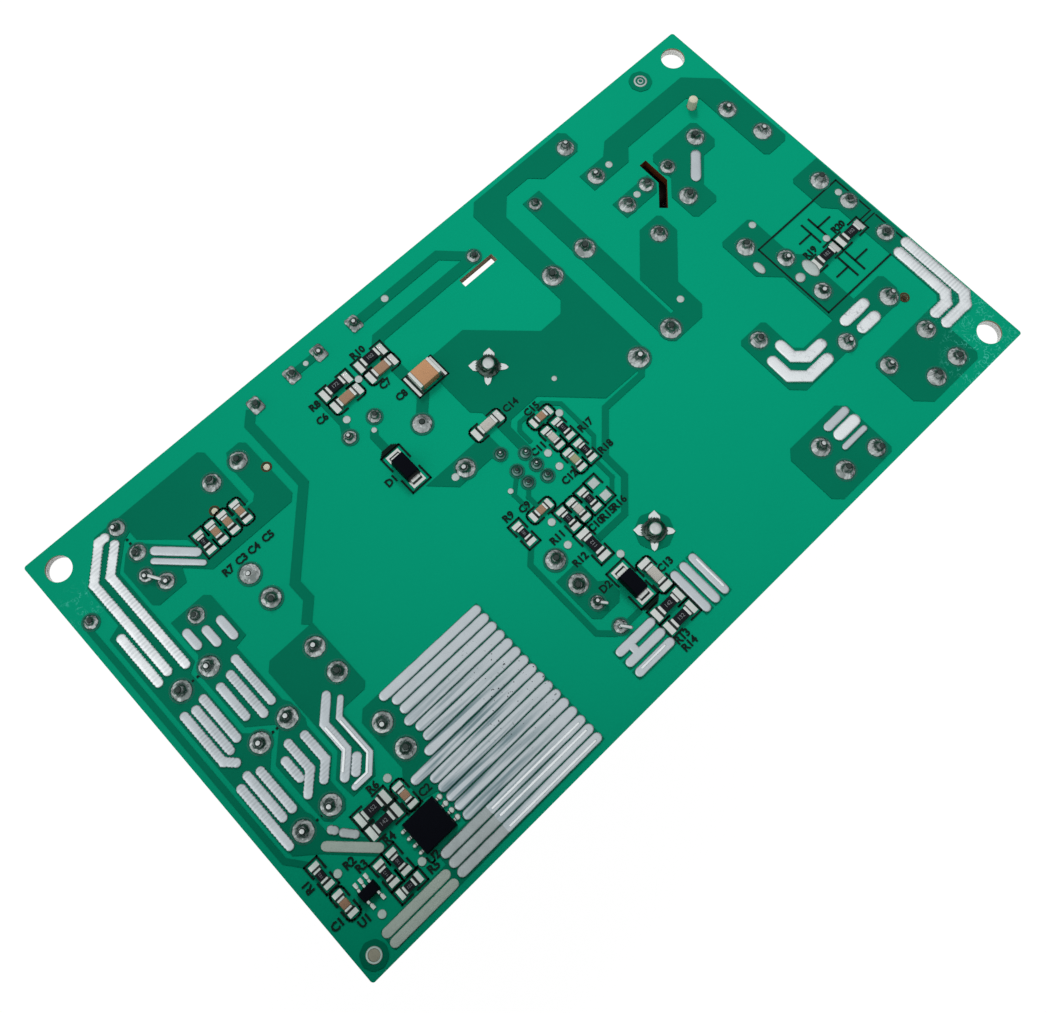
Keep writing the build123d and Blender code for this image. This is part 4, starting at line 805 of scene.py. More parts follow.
for low, high in solids_of("solder_joints"):
    x, y = ((low + high) / 2).xy
    foot = (high.x - low.x) / 2 * (0.8 if is_close((x, y), slim_joints, 1.0) else 1)
    small = foot < 1.0
    flat = is_close((x, y), flat_joints, 1.0)
    rise = (0.45 if flat else min(1.35, 0.30 + foot * 0.62)) * chance.uniform(0.88, 1.08)
    wire = 0.30 if small else 0.24 + foot * 0.15
    fillet = spun([
        (0, -0.09), (foot * 0.99, -0.09), (foot * 1.01, 0.0), (foot * 0.98, 0.08), (foot * 0.90, 0.14),
        (foot * 0.78, 0.21), (foot * 0.66, 0.29), (foot * 0.54, 0.29 + 0.14 * rise),
        (wire + 0.22, 0.26 + 0.38 * rise), (wire + 0.10, 0.90 * rise), (wire * 0.9, rise), (0, rise * 1.01),
    ], joint_steps)
    if small and not flat:
        for face in fillet.faces:
            face.material_index = 1
    uneven(fillet, 0.08)
    aside = Vector((chance.uniform(-0.16, 0.16), chance.uniform(-0.16, 0.16), 0)) * foot
    for vert in fillet.verts:
        vert.co += aside * MM * min(1.0, max(0.0, vert.co.z / MM - 0.1) / (rise - 0.1))
    if foot > 1.2 and abs(y - disc_row_y) < 0.5 and x < 0:
        square_up(fillet, foot)
    else:
        merge_in(lips, spun([(foot + out, up) for out, up in lip_side], joint_steps), at(x, y, foil_mm))
    merge_in(joints, fillet, at(x, y, foil_mm))
    top = min(2.0, rise + 0.18 * chance.uniform(0.7, 1.2))
    stub = spun([
        (0, 0), (wire, 0), (wire + 0.06, rise * 0.9), (wire + 0.02, top - 0.16), (wire - 0.06, top - 0.04),
        (wire - 0.14, top), (0, top + 0.01),
    ], 14)
    # every stub is painted dark as a painted reflection, and about half keep a bright tinned top
    bright_end = chance.random() < 0.55
    for face in stub.faces:
        face.material_index = 0 if bright_end and face.normal.z > 0.9 else 1
    lean = tipped(chance.uniform(-9, 9), "X") @ tipped(chance.uniform(-9, 9), "Y")
    merge_in(wires, stub, at(x + aside.x, y + aside.y, foil_mm) @ lean)

beads(wires, bent_leads, 0.62, 0.55, wander=0.04, base=foil_mm + 0.45)
place_piece("joint_fillets", joints, [joint_paint, teal_paint], ["solder_joints"], sharp_angle=1.0)
place_piece("lead_stubs", wires, [wire_paint, dark_stub_paint], ["lead_ends"])
place_piece("mask_lips", lips, dark_mask_and_shadow_paint, sharp_angle=1.0)

# %% [markdown]
# The heatsink's two pins are soldered to square pads. The solder creeps out to the pad's four corners as
# bright tips, broad at the far side and thin at the near side, and between them the pad is drawn in. Inside
# it is a hollow that climbs the pin, painted dark as painted shade. Rings of points are laid round the pin
# for that: each ring is a share of the way from the pin to the outline of a square whose sides are pinched
# in.

# %% Star joints and their pins
pad_half, pinch = 2.35, 1.90
broad_arm, thin_arm, fall_angle = math.radians(15), math.radians(4), math.radians(17)
star_rings = [1.0, 1.0, 0.96, 0.88, 0.78, 0.66, 0.52, 0.38, 0.24, 0.10, 0.0]
tip_from = 2.1  # the tips lie flat from this far out, and the hollow climbs inside it
star_steps = 120


def star_outline(angle):
    """The pad's reach in millimetres in a direction: full to the corners, pinched in at the sides."""
    off_corner = abs(angle % (math.pi / 2) - math.pi / 4)
    arm = broad_arm if angle < math.pi else thin_arm
    edge = pad_half / math.cos(math.pi / 4 - min(off_corner, arm))
    fall = min(1.0, max(0.0, off_corner - arm) / fall_angle)
    return edge + (pinch - edge) * fall * fall * (3 - 2 * fall)


def star_height(k, reach, pin):
    """The height of ring k: a skirt, a rim, and inside them a hollow that climbs the pin."""
    if k < 2:
        return (-0.09, 0.05)[k]
    return 0.12 + 1.15 * max(0.0, 1 - (reach - pin) / (tip_from - pin)) ** 1.8


stars, pins = bmesh.new(), bmesh.new()
for low, high in solids_of("heatsink_pins"):
    x, y = ((low + high) / 2).xy
    pin = (high.x - low.x) / 2
    shape = bmesh.new()
    rings = []
    for k, share in enumerate(star_rings):
        ring = []
        for step in range(star_steps):
            angle = math.tau * step / star_steps
            reach = (pin - 0.05) + (star_outline(angle) - pin + 0.05) * share
            point = (reach * math.cos(angle), reach * math.sin(angle), star_height(k, reach, pin))
            ring.append(shape.verts.new([c * MM for c in point]))
        rings.append(ring)
    for ring, inner in zip(rings, rings[1:]):
        for i in range(star_steps):
            j = (i + 1) % star_steps
            shape.faces.new((ring[i], ring[j], inner[j], inner[i]))
    shape.faces.new(rings[-1])
    shape.faces.new(rings[0])
    bmesh.ops.recalc_face_normals(shape, faces=shape.faces)
    for face in shape.faces:
        # painted shade: inside tip_from the solder gets the dark hollow finish
        face.material_index = int(face.calc_center_median().xy.length < tip_from * MM)
    merge_in(stars, shape, at(x, y, foil_mm))
    merge_in(pins, spun([
        (0, low.z), (pin - 0.15, low.z), (pin - 0.02, low.z + 0.2), (pin - 0.02, high.z - 0.80),
        (pin + 0.08, high.z - 0.45), (pin + 0.06, high.z - 0.20), (pin - 0.10, high.z - 0.03), (0, high.z),
    ], 24), at(x, y))
tip_paint = new_finish(
    "star_tips", (0.78, 0.81, 0.80), 0.30, metal=1.0, drift=(0.12, 0.7), grain=(0.15, 0.4))
hollow_shade_paint = new_finish(
    "star_hollow_painted_shade", (0.085, 0.115, 0.100), 0.26, metal=1.0, drift=(0.5, 0.8), grain=(0.5, 0.9))
place_piece("star_joints_soft", stars, [tip_paint, hollow_shade_paint], ["star_joints"], sharp_angle=1.0)
place_piece("heatsink_pins_soft", pins, wire_paint, ["heatsink_pins"])

# %% [markdown]
# Test points and other small bared pads carry a thin lens of solder. Each is a low spun dome, and the few
# oval or square ones are that dome stretched. The drill leaves a scorched brown rim round three small
# holes. Near the bottom-left corner the tin is painted darker, painted shade.

# %% Test points and spare pads
dot_places = [
    (-13.7, 28.4), (-19.6, 24.5), (-1.2, 36.2), (43.6, 28.8), (43.0, 21.4), (-13.5, 5.6), (34.3, 2.7),
    (53.1, 3.9), (60.4, -6.4), (68.5, -1.9), (-8.3, -14.3), (5.8, 2.1), (-0.2, -1.5), (-0.4, -4.3),
    (-7.6, -10.0), (-3.4, -20.9), (-51.4, -21.1), (-65.1, -26.0), (-64.1, -34.3), (-55.4, -33.0),
]
small_dots = [(9.3, 6.9), (-17.6, 20.2), (-8.8, -2.0), (-18.1, 36.3)]
ovals = [(48.0, -2.4, 1.5, 2.6), (51.7, -8.3, 1.8, 1.8), (54.3, -8.3, 2.2, 3.7)]
corner_pad, spare_pad = (-68.4, -37.5), (59.5, 36.9)
painted_shade_centre = (-61, -29, 31.9)
scorched_holes = [(-44.3, 27.2), (-33.9, 27.2), (61.7, -22.6)]
dots, rims, centres = bmesh.new(), bmesh.new(), bmesh.new()


def dome(target, x, y, wide, deep, height=0.10):
    """A low lens of solder, wide along X and deep along Y, that stands on the mask."""
    lens_shape = spun([
        (0, -0.1), (1, -0.1), (1, 0.02), (0.93, height * 0.7), (0.7, height), (0, height * 1.15),
    ])
    bmesh.ops.scale(lens_shape, vec=(wide / 2, deep / 2, 1), verts=lens_shape.verts)
    merge_in(target, lens_shape, at(x, y, foil_mm))


for x, y in dot_places:
    dome(dots, x, y, 1.3, 1.3)
for x, y in small_dots:
    dome(dots, x, y, 0.95, 0.95)
for x, y, wide, deep in ovals:
    dome(dots, x, y, wide, deep, 0.28)
for y in (-10.0, -12.65):
    block(dots, (0.75, y - 0.7, solder_mm), (2.3, y + 0.7, foil_mm + 0.12), 0.10)
# a ring of bare tin round the corner pad, and two round the spare pad
for pad, outer, inner in ((corner_pad, 1.2, 0.85), (spare_pad, 1.2, 0.85), (spare_pad, 0.55, 0.30)):
    merge_in(dots, spun([
        (inner, -0.1), (outer, -0.1), (outer, 0.04), (outer - 0.08, 0.12), (inner + 0.05, 0.12),
        (inner, 0.05), (inner, -0.1),
    ], 32), at(*pad, foil_mm))
pale_tin = new_finish(
    "pale_tin", (0.53, 0.59, 0.57), 0.42, metal=0.85, drift=(0.08, 0.8), grain=(0.15, 0.3))
# painted shade: the tin is painted darker near the bottom-left corner
blend_over(pale_tin, (0.24, 0.34, 0.29), near(pale_tin, painted_shade_centre, 26), 0.6)
place_piece("test_points", dots, pale_tin)

rim_side = [(0.64, -0.02), (0.88, -0.02), (0.84, 0.03), (0.66, 0.03), (0.64, -0.02)]
for x, y in scorched_holes:
    merge_in(rims, spun(rim_side, 24), at(x, y, foil_mm))
scorched = new_finish("scorched_rim", (0.060, 0.030, 0.012), 0.5, drift=(0.3, 0.5), specular=0.1)
place_piece("scorched_rims", rims, scorched)

dome(centres, *corner_pad, 1.7, 1.7, 0.06)
for face in centres.faces:
    face.material_index = 1
dome(centres, *spare_pad, 1.7, 1.7, 0.04)
beige_tin = new_finish("beige_tin", (0.30, 0.29, 0.22), 0.5, metal=0.3, drift=(0.2, 0.8))
place_piece("pad_centres", centres, [dark_mask_and_shadow_paint, beige_tin])

# %% [markdown]
# Chips are glazed or ceramic blocks between two tinned ends, and each end sits in a hollow wedge of solder.
# The part of the wedge's hollow next to the chip is painted dark, painted shade in the crease.
# The bodies and ends are softened copies of the solids. The wedge is a profile drawn from the side,
# extruded across the pad and softened. Each body looks for its own two ends, and they say which way it
# lies.

# %% Finishes of the chips
glaze_black = new_finish(
    "resistor_glaze", (0.006, 0.007, 0.010), 0.30, drift=(0.2, 0.8), grain=(0.1, 0.1), specular=0.10)
tan_ceramic, olive_ceramic, pale_ceramic, grey_ceramic = [
    new_finish("capacitor_" + name, colour, 0.45, drift=(drift, 2.0), grain=(0.1, 0.1))
    for name, colour, drift in (
        ("tan", (0.29, 0.165, 0.095), 0.12), ("olive", (0.27, 0.27, 0.15), 0.12),
        ("pale", (0.44, 0.22, 0.10), 0.08), ("grey", (0.42, 0.40, 0.36), 0.12),
    )
]
cap_tin = new_finish("cap_tin", (0.70, 0.71, 0.68), 0.34, metal=0.9, drift=(0.10, 0.6), grain=(0.05, 0.15))
# painted shade: the tin is painted darker near the bottom-left corner
blend_over(cap_tin, (0.36, 0.43, 0.39), near(cap_tin, painted_shade_centre, 24), 0.55)
groove_shade_tin = new_finish("groove_shade_tin", (0.05, 0.06, 0.055), 0.30, metal=0.9, drift=(0.2, 0.5))
plastic_black = new_finish(
    "moulded_black", (0.002, 0.0025, 0.005), 0.40, drift=(0.2, 1.5), grain=(0.2, 0.12), specular=0.03)
ceramics = [tan_ceramic, grey_ceramic, pale_ceramic, olive_ceramic]
print("ceramics", [paint.name for paint in ceramics])

# %% Chips and their solder
# by the chip's length: the pad's length beyond its end, and the pad's width
pad_sizes = {2.0: (1.05, 1.55), 3.2: (1.25, 2.0), 4.4: (0.75, 4.1)}
# the capacitors that aren't tan, and how far each reaches from its middle
grey_capacitors = [(2.1, -0.2), (-3.2, -11.4), (-1.9, -26.8), (-4.0, 8.4)]
other_ceramics = [(grey_capacitors, 1.6), ([(-5.5, 21.6)], 3.2), ([(2.1, -5.3)], 1.6)]
groove_shade_reach = 0.30


def wedge(target, length, width, tall, move):
    """A hollow wedge of solder against a chip's end, lying along +X from the origin."""
    shape = drawn_out([
        (-0.12, -0.09), (length, -0.09), (length, 0.10), (0.34, 0.13), (0.25, 0.18),
        (0.13, 0.13 + tall * 0.30), (0.03, tall * 0.88), (-0.12, tall * 0.90),
    ], width, 0.04)
    # painted shade: the hollow next to the chip gets the dark groove finish
    for face in shape.faces:
        if face.calc_center_median().x < groove_shade_reach * MM and abs(face.normal.y) < 0.9:
            face.material_index = 1
    merge_in(target, shape, move)


cap_boxes = solids_of("chip_end_caps")
wedges = bmesh.new()
chips = []  # kind, middle, turn and length of each chip, in millimetres and degrees
for node in ("chip_resistors", "chip_capacitors"):
    for low, high in solids_of(node):
        middle = (low + high) / 2
        ends = sorted(cap_boxes, key=lambda box: ((box[0] + box[1]) / 2 - middle).length)[:2]
        (first_low, _), (last_low, last_high) = sorted(ends, key=lambda box: (box[0].x, box[0].y))
        along = (last_low - first_low).normalized()
        length = round((last_high - first_low).dot(along), 1)
        turn = math.degrees(math.atan2(along.y, along.x))
        chips.append((node, *middle.xy, turn, length))
        pad_length, pad_width = pad_sizes[length]
        for side in (0, 180):
            place = at(*middle.xy, foil_mm, turn + side) @ at(length / 2, 0)
            wedge(wedges, pad_length, pad_width, min(high.z - low.z, 0.75), place)
place_piece("chip_solder", wedges, [cap_tin, groove_shade_tin], sharp_angle=0.6)
place_soft("chip_resistors", 0.05, glaze_black)
place_soft("chip_end_caps", 0.12, cap_tin)

bodies = welded("chip_capacitors")
soften(bodies, 0.10)
for face in bodies.faces:
    middle = (face.calc_center_median() / MM).xy
    for index, (places, reach) in enumerate(other_ceramics, 1):
        if is_close(middle, places, reach):
            face.material_index = index
place_piece("chip_capacitors_soft", bodies, ceramics, ["chip_capacitors"])

# %% [markdown]
# The two diodes, the power transistor and the small regulator are moulded in black plastic. Their solids
# already taper as the mould does, so they only need soft edges, and bent leads in their solder.

# %% Moulded parts
for node, width in (("surface_diodes", 0.16), ("power_transistor", 0.10), ("regulator_chip", 0.08)):
    place_soft(node, width, plastic_black)

diode_middles = [(-18.2, 12.0), (-5.4, -25.4)]
feet = bmesh.new()
for low, high in solids_of("surface_diode_leads"):
    x, y = ((low + high) / 2).xy
    body_y = diode_middles[0][1] if y > 0 else diode_middles[1][1]
    outward = 90 if y > body_y else -90
    near_end = min(abs(low.y - body_y), abs(high.y - body_y))
    place = at(x, body_y, foil_mm, outward) @ at(near_end, 0)
    block(feet, (-0.20, -1.25, -0.09), (1.30, 1.25, 0.10), 0.04, place)
    wedge(feet, 0.60, 1.9, 0.42, place @ at(0.52, 0))
    block(feet, (-0.35, -0.85, 0.1), (0.55, 0.85, 0.50), 0.14, place)
place_piece("diode_leads_soft", feet, [cap_tin, groove_shade_tin], ["surface_diode_leads"], sharp_angle=0.6)

transistor_low, transistor_high = box_mm("power_transistor")
leads = bmesh.new()
for low, high in solids_of("power_transistor_leads"):
    x, y = ((low + high) / 2).xy
    block(leads, (low.x, y - 0.22, foil_mm), (high.x, y + 0.22, foil_mm + 0.24), 0.05)
    inner = x < (transistor_low.x + transistor_high.x) / 2
    shift, wide, deep = (-0.15, 0.75, 0.62) if inner else (0.35, 0.95, 0.95)
    dome(leads, x + shift, y, wide, deep, 0.30)
place_piece("transistor_leads_soft", leads, cap_tin, ["power_transistor_leads"], sharp_angle=0.8)

regulator_low, regulator_high = box_mm("regulator_chip")
regulator_y = (regulator_low.y + regulator_high.y) / 2
regulator_half = (regulator_high.y - regulator_low.y) / 2
wing_side = [
    (-0.3, 0.42), (0.25, 0.42), (0.42, 0.05), (1.15, 0.05), (1.15, 0.20), (0.50, 0.20), (0.34, 0.58),
    (-0.3, 0.58),
]
wings = bmesh.new()
for low, high in solids_of("regulator_leads"):
    outward = 90 if low.y > regulator_y else -90
    place = at((low.x + high.x) / 2, regulator_y, foil_mm, outward) @ at(regulator_half, 0)
    merge_in(wings, drawn_out(wing_side, 0.38, 0.03), place)
    block(wings, (0.62, -0.28, 0), (1.35, 0.28, 0.10), 0.04, place)
place_piece("regulator_leads_soft", wings, cap_tin, ["regulator_leads"], sharp_angle=0.7)

# %% [markdown]
# The legend is printed in dark ink: a box round each part, square for a resistor and with cut corners for a
# capacitor, and short part numbers. Each line is a thin bar that stands in the mask and rises a hair above
# it. The numbers are letters of Blender's own font, turned to mesh. They count the parts from left to
# right.

# %% Printed outlines
ink = bmesh.new()
ink_top = foil_mm + 0.03
line, fine_line = 0.30, 0.24
# by the chip's length: half the outline's length, half its width, and the gap between its two halves
outline_sizes = {2.0: (2.45, 1.15, 1.0), 3.2: (3.12, 1.38, 2.1), 4.4: (3.08, 2.15, 0.0)}
spare_chip = ("chip_resistors", 1.52, -11.3, 90, 2.0)
corner_cut = 0.75


def ink_lines(points, move=Matrix(), width=line):
    """Draws joined straight lines of ink through points, in millimetres."""
    placed = [move @ Vector((x * MM, y * MM, 0)) for x, y in points]
    for start, end in zip(placed, placed[1:]):
        stroke(ink, start.xy / MM, end.xy / MM, width, solder_mm, ink_top)


for kind, x, y, turn, length in chips + [spare_chip]:
    half, side, gap = outline_sizes[length]
    corner = [(half, side)]
    if kind == "chip_capacitors" and length < 4:
        corner = [(half - corner_cut * (1 - math.sin(part)), side - corner_cut * (1 - math.cos(part)))
                  for part in (0, math.pi / 6, math.pi / 3, math.pi / 2)]
    bracket = [(gap / 2, side)] + corner + [(u, -v) for u, v in reversed(corner)] + [(gap / 2, -side)]
    for flip in (0, 180):
        ink_lines(bracket, at(x, y, 0, turn + flip))

for (x, y), up in zip(diode_middles, (1, -1)):
    for flip in (0, 180):
        ink_lines([(-1.85, 1.1), (-1.85, 3.75), (1.85, 3.75), (1.85, 1.1)], at(x, y, 0, flip))
    # rows of ink that grow shorter towards the marked end
    for step in range(4):
        reach, row = 1.75 - step * 0.28, y + up * (3.85 + step * 0.22)
        stroke(ink, (x - reach, row), (x + reach, row), 0.26, solder_mm, ink_top)

# the box under the two line capacitors, with a gap that two fine lines close, and their symbols
box_left, box_right, box_top, box_bottom = 50.4, 69.9, 0.0, -15.8
for points in (
    [(box_left, box_top), (box_right, box_top)], [(box_left, box_bottom), (66.0, box_bottom)],
    [(box_left, box_top), (box_left, box_bottom)], [(box_right, box_top), (box_right, -7.6)],
    [(box_right, -9.2), (box_right, box_bottom)],
):
    ink_lines(points)
for y in (-7.95, -8.75):
    ink_lines([(67.0, y), (box_right, y)], width=fine_line)
for y in (-4.0, -12.4):
    for plate in (59.15, 60.85):
        ink_lines([(plate, y - 2.1), (plate, y + 2.1)])
    ink_lines([(56.4, y), (59.15, y)])
    ink_lines([(60.85, y), (63.8, y)])
ink_lines([(-52.6, -26.9), (-49.9, -26.9)])
# pairs of dots that mark where two capacitors' leads go
mark_dots = [(-63.0, 9.1), (-62.1, 9.1), (-59.2, -4.7), (-58.4, -4.7), (-62.5, -18.5), (-61.6, -18.5)]
for x, y in mark_dots + [(-56.9, 32.8), (-56.9, 32.0)]:
    stroke(ink, (x - 0.01, y), (x + 0.01, y), 0.34, solder_mm, ink_top)
print("outlines", len(ink.faces), "faces")

# %% Part numbers


def lettering(target, word, x, y, tall, turn=0.0, base=solder_mm, top=ink_top, bold=0.055):
    """Adds a word as a thin plate of ink, centred at x, y, with capitals this tall."""
    text = bpy.data.curves.new("word", "FONT")
    text.body = word
    text.size = tall * 1.42 * MM
    text.align_x = text.align_y = "CENTER"
    text.space_character = 0.98
    text.offset = bold * MM
    text.extrude = (top - base) / 2 * MM
    text.resolution_u = 2
    carrier = bpy.data.objects.new("word", text)
    mesh = bpy.data.meshes.new_from_object(carrier)
    mesh.transform(at(x, y, (base + top) / 2, turn))
    target.from_mesh(mesh)
    bpy.data.objects.remove(carrier)
    bpy.data.curves.remove(text)
    bpy.data.meshes.remove(mesh)


resistor_labels = [
    (-69.3, -24.5), (-63.0, -26.1), (-62.0, -27.6), (-56.7, -27.5), (-54.7, -34.7), (-53.8, -20.6),
    (-48.7, 18.4), (-21.8, 29.7), (-11.9, -4.8), (-10.8, 32.0), (-8.6, -12.4), (-8.5, -17.3),
    (-5.6, -36.3), (-5.6, -37.8), (-0.3, -15.0), (2.2, -15.0), (7.4, -2.2), (7.2, -7.0), (56.4, -6.3),
    (63.5, -6.3),
]
capacitor_labels = [
    (-69.5, -31.1), (-48.6, -26.1), (-46.1, 18.4), (-43.7, 18.4), (-40.9, 18.4), (-22.4, 27.2),
    (-11.1, 24.9), (-10.5, 21.6), (-9.0, -5.4), (-2.9, -15.0), (-0.8, 0.0), (-0.5, -6.7), (0.4, -26.8),
    (1.0, 8.4), (3.0, 5.6),
]
other_labels = [("D1", -21.2, 12.0), ("D2", -8.7, -23.0), ("U1", -66.4, -33.3), ("U2", -53.8, -33.7)]
upright_word = "R1"  # the one label that is turned to read along its part
for letter, labels in (("R", resistor_labels), ("C", capacitor_labels)):
    for number, (x, y) in enumerate(labels, 1):
        word = f"{letter}{number}"
        lettering(ink, word, x, y, 1.2, 90 if word == upright_word else 0)
for word, x, y in other_labels:
    lettering(ink, word, x, y, 1.2)
ink_paint = new_finish("legend_ink", (0.002, 0.012, 0.008), 0.5, drift=(0.2, 2.0), specular=0.1)
place_piece("printed_legend", ink, ink_paint, sharp_angle=0.5)

codes = bmesh.new()
resistor_top = box_mm("chip_resistors")[1].z
for number, (kind, x, y, turn, length) in enumerate(chips):
    if kind == "chip_resistors":
        tall, lower_by = (0.62, 0.0) if length > 3 else (0.42, 0.1)
        top = resistor_top - lower_by + 0.008
        lettering(codes, str(100 + number % 9 * 10 + 2), x, y, tall, turn, top - 0.03, top, 0.0)
code_paint = new_finish("code_ink", (0.16, 0.17, 0.18), 0.5, drift=(0.1, 3.0))
place_piece("resistor_codes", codes, code_paint, sharp_angle=0.5)

# %% [markdown]
# The far side carries the tall parts. They stand on the table and show from the sides. Cans and discs were
# kept many-sided in the solids, so here they are spun smooth. The cans get their sleeve with a pale stripe,
# a crimp groove and a bare, scored top.

# %% Cans
sleeve_black = new_finish("shrunk_sleeve", (0.016, 0.018, 0.026), 0.28, drift=(0.1, 8.0))
stripe_grey = new_finish("sleeve_stripe", (0.34, 0.36, 0.38), 0.30, drift=(0.1, 3.0))
bare_aluminium = new_finish(
    "bare_aluminium", (0.78, 0.79, 0.80), 0.34, metal=1.0, drift=(0.06, 5.0), grain=(0.12, 0.3))
rubber_black = new_finish("rubber_bung", (0.02, 0.02, 0.02), 0.7)
can_nodes = ["bulk_capacitors", "output_capacitors", "bias_capacitor"]
round_gap = 0.02  # keeps a round skin inside its many-sided solid
half_stripe = 24  # degrees
sleeves, tops, bungs = bmesh.new(), bmesh.new(), bmesh.new()
for low, high in [box for node in can_nodes for box in solids_of(node)]:
    foot = (*((low + high) / 2).xy, low.z)
    radius = (high.x - low.x) / 2 - round_gap
    tall = high.z - low.z
    wall = spun([(radius * share, height) for share, height in (
        (0.80, tall - 0.45), (0.90, tall - 0.40), (0.96, tall - 0.60), (1, tall - 1.1), (1, tall - 2.2),
        (0.95, tall - 2.7), (0.95, tall - 3.1), (1, tall - 3.6), (1, 0.9), (0.975, 0.35), (0.92, 0.08),
        (0.86, 0.0), (0.80, 0.04), (0.80, 0.18), (0.80, tall - 0.45),
    )], 48)
    for face in wall.faces:
        middle = face.calc_center_median()
        if math.degrees(abs(math.atan2(middle.y, -middle.x))) < half_stripe:
            face.material_index = 1
    merge_in(sleeves, wall, at(*foot))
    top_side = [(0, 0.22), (0.40, 0.22), (0.78, 0.14), (0.82, 0.10), (0.82, 0.5), (0, 0.5)]
    merge_in(tops, spun([(radius * share, height) for share, height in top_side], 48), at(*foot))
    for turn in (90, 210, 330):
        block(tops, (0, -0.12, 0.12), (radius * 0.55, 0.12, 0.26), 0.05, at(*foot, turn))
    bung_side = [(0, 0.8), (0.84, 0.8), (0.84, 0.30), (0.5, 0.05), (0, 0.05)]
    merge_in(bungs, spun([(radius * share, tall - depth) for share, depth in bung_side], 32), at(*foot))
place_piece("can_sleeves", sleeves, [sleeve_black, stripe_grey], can_nodes, sharp_angle=0.6)
place_piece("can_tops", tops, bare_aluminium, sharp_angle=0.6)
place_piece("can_bungs", bungs, rubber_black, sharp_angle=0.6)

# %% [markdown]
# Disc parts are dipped in lacquer, so they are lenses with soft rims, and the lacquer runs a little way
# down each lead. A lens is a spun half profile, laid on its side. A dark dab at the thermistor's shoulder
# fills the view through the bent slot: a dark piece that stands in for the shade seen there.

# %% Discs
disc_finishes = {
    "safety_capacitors": new_finish("dipped_blue", (0.02, 0.12, 0.36), 0.25, drift=(0.12, 3.0)),
    "varistor": new_finish("varistor_blue", (0.02, 0.10, 0.30), 0.25, drift=(0.12, 3.0)),
    "clamp_capacitor": new_finish("dipped_orange", (0.52, 0.20, 0.03), 0.3, drift=(0.12, 3.0)),
    "thermistor": new_finish("dipped_brown", (0.012, 0.006, 0.004), 0.5, drift=(0.12, 3.0), specular=0.1),
}
# (share of the radius, share of the half thickness), from the rim inwards
lens_rim = [(1, 0.0), (0.97, 0.32), (0.88, 0.62), (0.70, 0.86), (0.45, 0.98)]
full_rim = [(1, 0.0), (1, 0.7), (0.96, 0.86), (0.86, 0.97)]
# a dark dab by the thermistor that stands in for the shade seen through the bent slot
dark_dab_side = [(0, 0.2), (1.3, 0), (1.3, -0.8), (0.9, -1.7), (0, -2.1)]
dark_dab_place = (49.3, 25.1, 29.8)
lead_places = [((low + high) / 2).xy for low, high in solids_of("disc_leads")]
for node, paint in disc_finishes.items():
    discs = bmesh.new()
    for low, high in solids_of(node):
        middle = (low + high) / 2
        size = high - low
        radius, half = size.z / 2 - round_gap, min(size.x, size.y) / 2 - round_gap
        rim = full_rim if node == "thermistor" else lens_rim
        face_side = [(radius * out, half * up) for out, up in rim] + [(0, half)]
        lens_shape = spun([(out, -up) for out, up in reversed(face_side[1:])] + face_side, 40)
        merge_in(discs, lens_shape, at(*middle) @ tipped(90, "X" if size.y < size.x else "Y"))
        for x, y in lead_places:
            if math.dist((x, y), middle.xy) < radius:
                merge_in(discs, spun([
                    (0, -radius * 0.5), (0.75, -radius * 0.4), (0.72, 0), (0.5, 1.2), (0.38, 2.0), (0, 2.1),
                ], 12), at(x, y, middle.z + radius * 0.72))
        if node == "thermistor":
            merge_in(discs, spun(dark_dab_side), at(*dark_dab_place))
    place_piece(node + "_dipped", discs, paint, [node])

# %% [markdown]
# Leads and links are round wire. Each plain bar of the solids becomes a spun rod along its longest side.

# %% Round wire
tips = [tipped(90, "Y"), tipped(-90, "X"), Matrix()]  # from upright to along X, Y and Z
for node in ("disc_leads", "wire_links"):
    wire_rods = bmesh.new()
    for low, high in solids_of(node):
        size = high - low
        axis = max(range(3), key=lambda i: size[i])
        radius, length = min(size) / 2, size[axis]
        rod = spun([(0, 0), (radius * 0.9, 0), (radius, 0.05), (radius, length - 0.05), (0, length)], 12)
        foot = (low + high) / 2
        foot[axis] = low[axis]
        merge_in(wire_rods, rod, at(*foot) @ tips[axis])
    place_piece(node + "_round", wire_rods, wire_paint, [node])

# %% [markdown]
# Coils are wire laid side by side. A coil's solid is sliced once per half turn, and every second ring of
# points is drawn in towards the coil's axis, which leaves one ridge for each turn.

# %% Coils
copper_wire = new_finish("enamelled_copper", (0.46, 0.15, 0.055), 0.28, metal=0.85, drift=(0.15, 1.0))


def wound(node, axis, centre, pitch, depth, outer_only):
    """A copy of a coil solid with a ridge for each turn of wire along the axis."""
    shape = welded(node)
    corners = []
    for edge in shape.edges:
        start, end = [vert.co for vert in edge.verts]
        lengthways = abs((start - end).normalized()[axis]) > 0.99 and edge.calc_length() > 2 * MM
        if lengthways and (start - centre).length > outer_only * MM:
            corners.append(edge)
    soften(shape, 0.8, 3, corners)
    low = min(v.co[axis] for v in shape.verts)
    high = max(v.co[axis] for v in shape.verts)
    normal = Vector([float(i == axis) for i in range(3)])
    for step in range(1, int((high - low) / (pitch / 2 * MM))):
        level = low + step * pitch / 2 * MM
        whole = shape.verts[:] + shape.edges[:] + shape.faces[:]
        bmesh.ops.bisect_plane(shape, geom=whole, plane_co=normal * level, plane_no=normal)
        if step % 2:
            continue
        for vert in shape.verts:
            away = vert.co - centre
            away[axis] = 0
            if abs(vert.co[axis] - level) < 1e-6 and away.length > outer_only * MM:
                vert.co -= away.normalized() * depth * MM
    return shape


for node, axis, pitch, outer_only in (("choke_coils", 0, 0.65, 6.0), ("drum_coil", 2, 0.6, 3.6)):
    low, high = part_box(node)
    coil = wound(node, axis, (low + high) / 2, pitch, 0.16, outer_only)
    place_piece(node + "_wound", coil, copper_wire, [node], sharp_angle=1.1)

# %% [markdown]
# The other tall parts keep their form, and only lose their sharp edges: ferrite halves, the bobbins, the
# tape, the extruded heatsink, the boxes of the film capacitors and the nylon headers.

